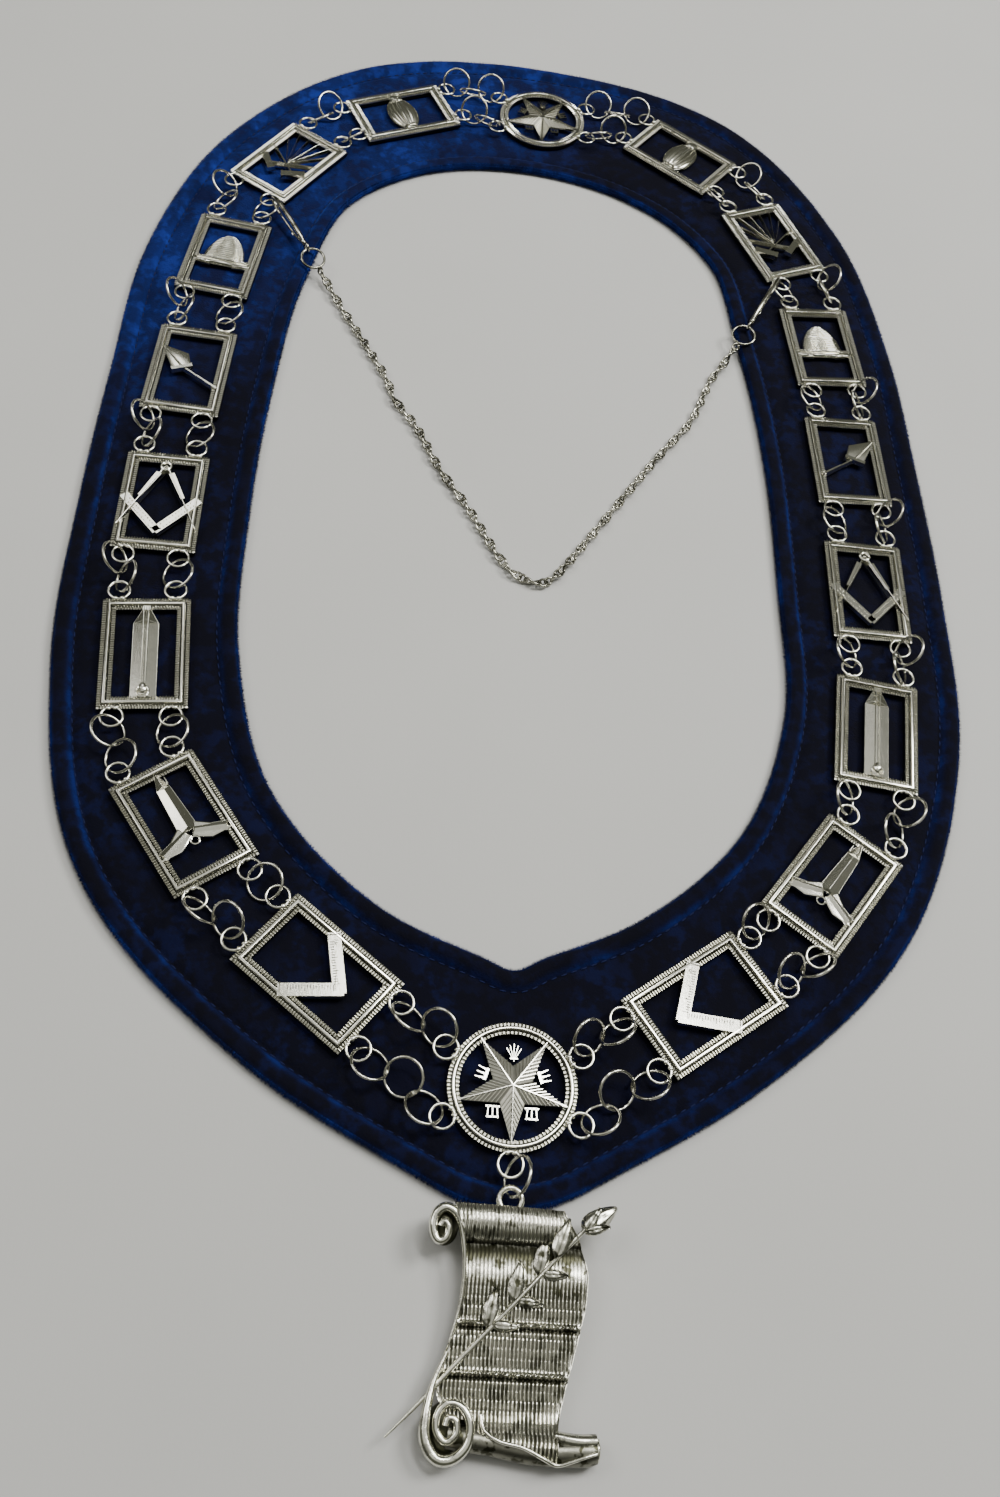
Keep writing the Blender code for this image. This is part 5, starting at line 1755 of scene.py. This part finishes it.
def low_roll():
    """The sheet's lower end: a full roll, a little swollen at its right end, with the wavy lip on top."""
    spine = even_route(LOW_SPINE, 1.5)
    swell = np.interp(spine[:, 0], (-13, 12, 17, 21, 22.6), (3.0, 3.0, 3.2, 3.35, 2.9))
    roll = wire_along("low_roll", [Vector(place) * MM for place in spine], swell * MM, 28)
    # The whole roll is painted dark.
    shade_and_dark_marks(roll, 0.80)
    end = hoop((0, 0), 2.0, 0.55, 0)
    turn = Matrix.Rotation(math.pi / 2, 4, "Y") @ Matrix.Diagonal((1, 1.1, 1, 1))
    put(end, Matrix.Translation((22.9 * MM, -55.8 * MM, 0)) @ turn)
    lip = lip_along("lip", LOW_EDGE)
    shoulder = lip_along("shoulder", SHOULDER)
    return [roll, end, lip, shade_and_dark_marks(shoulder, 0.3)]


def volutes():
    """The two rolled left corners: a coiled lip on a dished floor painted fully dark as painted shade."""
    pieces = [lip_along("top_lip", TOP_LIP), lip_along("low_lip", LOW_LIP)]
    for centre, sizes in (((-16.2, -7.0), (3.6, 4.8, 2.3)), ((-12.9, -53.2), (6.0, 6.6, 2.7))):
        pieces.append(shade_and_dark_marks(dome(centre, sizes, -1.6 * MM, 28, 12), 1.0))
    return pieces


def leaf(root, tip):
    """A pointed leaf with a sunk midrib, laid just above the sheet."""
    start = Vector((*root, 0))
    end = Vector((*tip, 0))
    piece = primitive("grid", "leaf", x_subdivisions=12, y_subdivisions=6, size=2)
    points = np.array([vertex.co for vertex in piece.data.vertices])
    length = (end - start).length / 2
    along, across = points[:, 0].copy(), points[:, 1].copy()
    width = 0.19 * (end - start).length * np.clip(1 - along**2, 0, 1) ** 0.75 * (1 - 0.35 * along)
    points[:, 0] = along * length
    points[:, 1] = across * width
    crown = 0.75 * (1 - across**2) * np.clip(1 - along**2, 0, 1) ** 0.5
    points[:, 2] = crown - 0.30 * np.exp(-((across / 0.22) ** 2))
    points[:, 2] += 0.12 * np.sin(11 * along - 5 * np.abs(across))
    piece.data.vertices.foreach_set("co", (points * MM).ravel())
    piece.data.update()
    # Painted shade along the sunk midrib, over an even darkening of the whole leaf.
    shade_and_dark_marks(piece, 0.55 * np.exp(-((across / 0.25) ** 2)) + 0.35)
    apply_modifier(piece, "SOLIDIFY", thickness=0.7 * MM, offset=-1)
    turn = math.atan2(end.y - start.y, end.x - start.x)
    middle = (start + end) / 2 * MM + Vector((0, 0, sheet_level(*((start + end) / 2)[:2]) + 0.75 * MM))
    return put(piece, Matrix.Translation(middle) @ Matrix.Rotation(turn, 4, "Z"))


def sheet_level(x, y):
    """Height of the sheet's face without its strokes and lips, where the sprig lies on it."""
    left, right = sheet_edges(-y)
    across = min(0.9, max(0.1, (x - left) / (right - left)))
    return (0.4 + float(sheet_relief(np.array(0.0), np.array(y), np.array(across)))) * MM


def sprig():
    """The stem, its leaves and the closed bud at its end."""
    points = []
    for x, y in SPRIG:
        off_sheet = x < -15
        points.append((x * MM, y * MM, 0.9 * MM if off_sheet else sheet_level(x, y) + 0.45 * MM))
    stem = wire_along("stem", points, [0.30 * MM, 0.55 * MM, 0.65 * MM, 0.65 * MM, 0.62 * MM, 0.55 * MM])
    bud = primitive("uv_sphere", "bud", segments=20, ring_count=12, radius=1)
    for vertex in bud.data.vertices:
        taper = 1 - 0.45 * vertex.co.x
        ridge = 1 + 0.10 * math.cos(6 * math.atan2(vertex.co.z, vertex.co.y))
        vertex.co.y *= taper * ridge
        vertex.co.z *= taper * ridge
    shade_and_dark_marks(bud, [0.35 + 0.35 * math.sin(9 * vertex.co.x + 8 * vertex.co.y) for vertex in bud.data.vertices])
    size = Matrix.Diagonal((5.4 * MM, 2.4 * MM, 1.9 * MM, 1))
    put(bud, Matrix.Translation((22.8 * MM, -3.6 * MM, 1.4 * MM)) @ Matrix.Rotation(0.62, 4, "Z") @ size)
    sepals = [leaf((18.6, -7.2), (22.4, -1.2)), leaf((18.6, -7.2), (25.0, -5.6))]
    return [stem, bud, *(leaf(*row) for row in LEAVES), *sepals]


def bail():
    """A round loop on a short neck that runs into the top roll."""
    loop = primitive("torus", "bail", major_radius=BAIL_RADIUS * MM, minor_radius=BAIL_WIRE / 2 * MM,
                     major_segments=32, minor_segments=12)
    neck = strip((0, -5.2), (0, -2.7), (5.6, 3.4), -1.0 * MM, 1.5 * MM, 0.8)
    return [loop, neck]


def make_pendant():
    pieces = [scroll_sheet(), *bail(), *sprig(), *low_roll(), *volutes()]
    piece = shaded(turned_out(joined("rolled_scroll", pieces)), 50)
    put(piece, pendant_matrix())
    level = (1.0 * MM, 3.0 * MM)
    bright = (0.88, 0.87, 0.76)
    # dull is the dark olive of the scroll's painted shade; blotches adds random dark spots.
    dull = (0.045, 0.045, 0.028)
    scroll = nickel_look("cast_scroll", bright, dull, 0.13, level, 0.10 * MM, 0.55)
    dress(piece, scroll, "collar", ["scroll_pendant"])


make_pendant()
link_poses = ring_poses(
    medallion_hole(BOTTOM_CENTRE, 270),
    pendant_matrix() @ Vector((0, BAIL_HOLD, 0)),
    (1, 0, 0),
    (1.15,),
    1.2 * RING_DIP,
)
ring_run("pendant_jump_ring", "pendant_link", link_poses, 0)
discard(JUMP_RING)


# Table and light: a pale grey cloth-covered table in a dim room, a panel in the ceiling that the polished
# faces at the front throw back, a soft light high on the right and two weak ones.
def table_look():
    look = Look("pale_cloth", {"Roughness": 0.92, "Specular IOR Level": 0.2})
    weave = look.noise(1.2 * MM, 2) * 0.5 + look.noise(0.6 * MM, 2, (1, 0.2, 1)) * 0.5
    look.set("Base Color", look.mix(look.noise(60 * MM, 2), (0.50, 0.50, 0.49), (0.56, 0.56, 0.55)))
    look.bump(weave, 0.15 * MM, 0.35)
    return look.material


table = primitive("plane", "table_top", size=6.0, location=(0, 0, -0.02 * MM))
table.data.materials.append(table_look())


def soft_light(name, place, aim, size, power, colour):
    data = bpy.data.lights.new(name, "AREA")
    data.shape = "RECTANGLE"
    data.size, data.size_y = size
    data.energy = power
    data.color = colour
    lamp = bpy.data.objects.new(name, data)
    bpy.context.scene.collection.objects.link(lamp)
    lamp.location = place
    lamp.rotation_euler = (Vector(aim) - Vector(place)).to_track_quat("-Z", "Y").to_euler()


soft_light("ceiling_panel", (0.27, 0.25, 1.4), (0.0, -0.05, 0), (0.66, 0.22), 10, (1.0, 0.99, 0.96))
soft_light("high_right", (0.85, 0.30, 1.1), (0, 0, 0), (0.45, 0.45), 14, (1.0, 0.99, 0.95))
soft_light("left_fill", (-1.0, 0.25, 1.2), (0, 0, 0), (0.7, 0.7), 6, (1.0, 0.98, 0.95))
soft_light("far_panel", (-0.36, 1.10, 1.4), (0, 0, 0), (0.25, 0.40), 1.0, (1.0, 1.0, 0.97))


def dim_room():
    world = bpy.data.worlds.new("dim_room")
    world.use_nodes = True
    tree = world.node_tree
    background = tree.nodes["Background"]
    ramp = tree.nodes.new("ShaderNodeValToRGB")
    stops = (
        (0.50, (0.26, 0.26, 0.235)),
        (0.60, (0.055, 0.057, 0.042)),
        (0.85, (0.090, 0.092, 0.072)),
        (0.95, (0.60, 0.60, 0.55)),
    )
    while len(ramp.color_ramp.elements) < len(stops):
        ramp.color_ramp.elements.new(1.0)
    for stop, (place, colour) in zip(ramp.color_ramp.elements, stops):
        stop.position = place
        stop.color = (*colour, 1)
    coordinates = tree.nodes.new("ShaderNodeTexCoord")
    parts = tree.nodes.new("ShaderNodeSeparateXYZ")
    level = tree.nodes.new("ShaderNodeMapRange")
    level.inputs["From Min"].default_value = -1.0
    tree.links.new(coordinates.outputs["Generated"], parts.inputs[0])
    tree.links.new(parts.outputs["Z"], level.inputs["Value"])
    tree.links.new(level.outputs["Result"], ramp.inputs["Fac"])
    tree.links.new(ramp.outputs["Color"], background.inputs["Color"])
    background.inputs["Strength"].default_value = 1.0
    bpy.context.scene.world = world


dim_room()
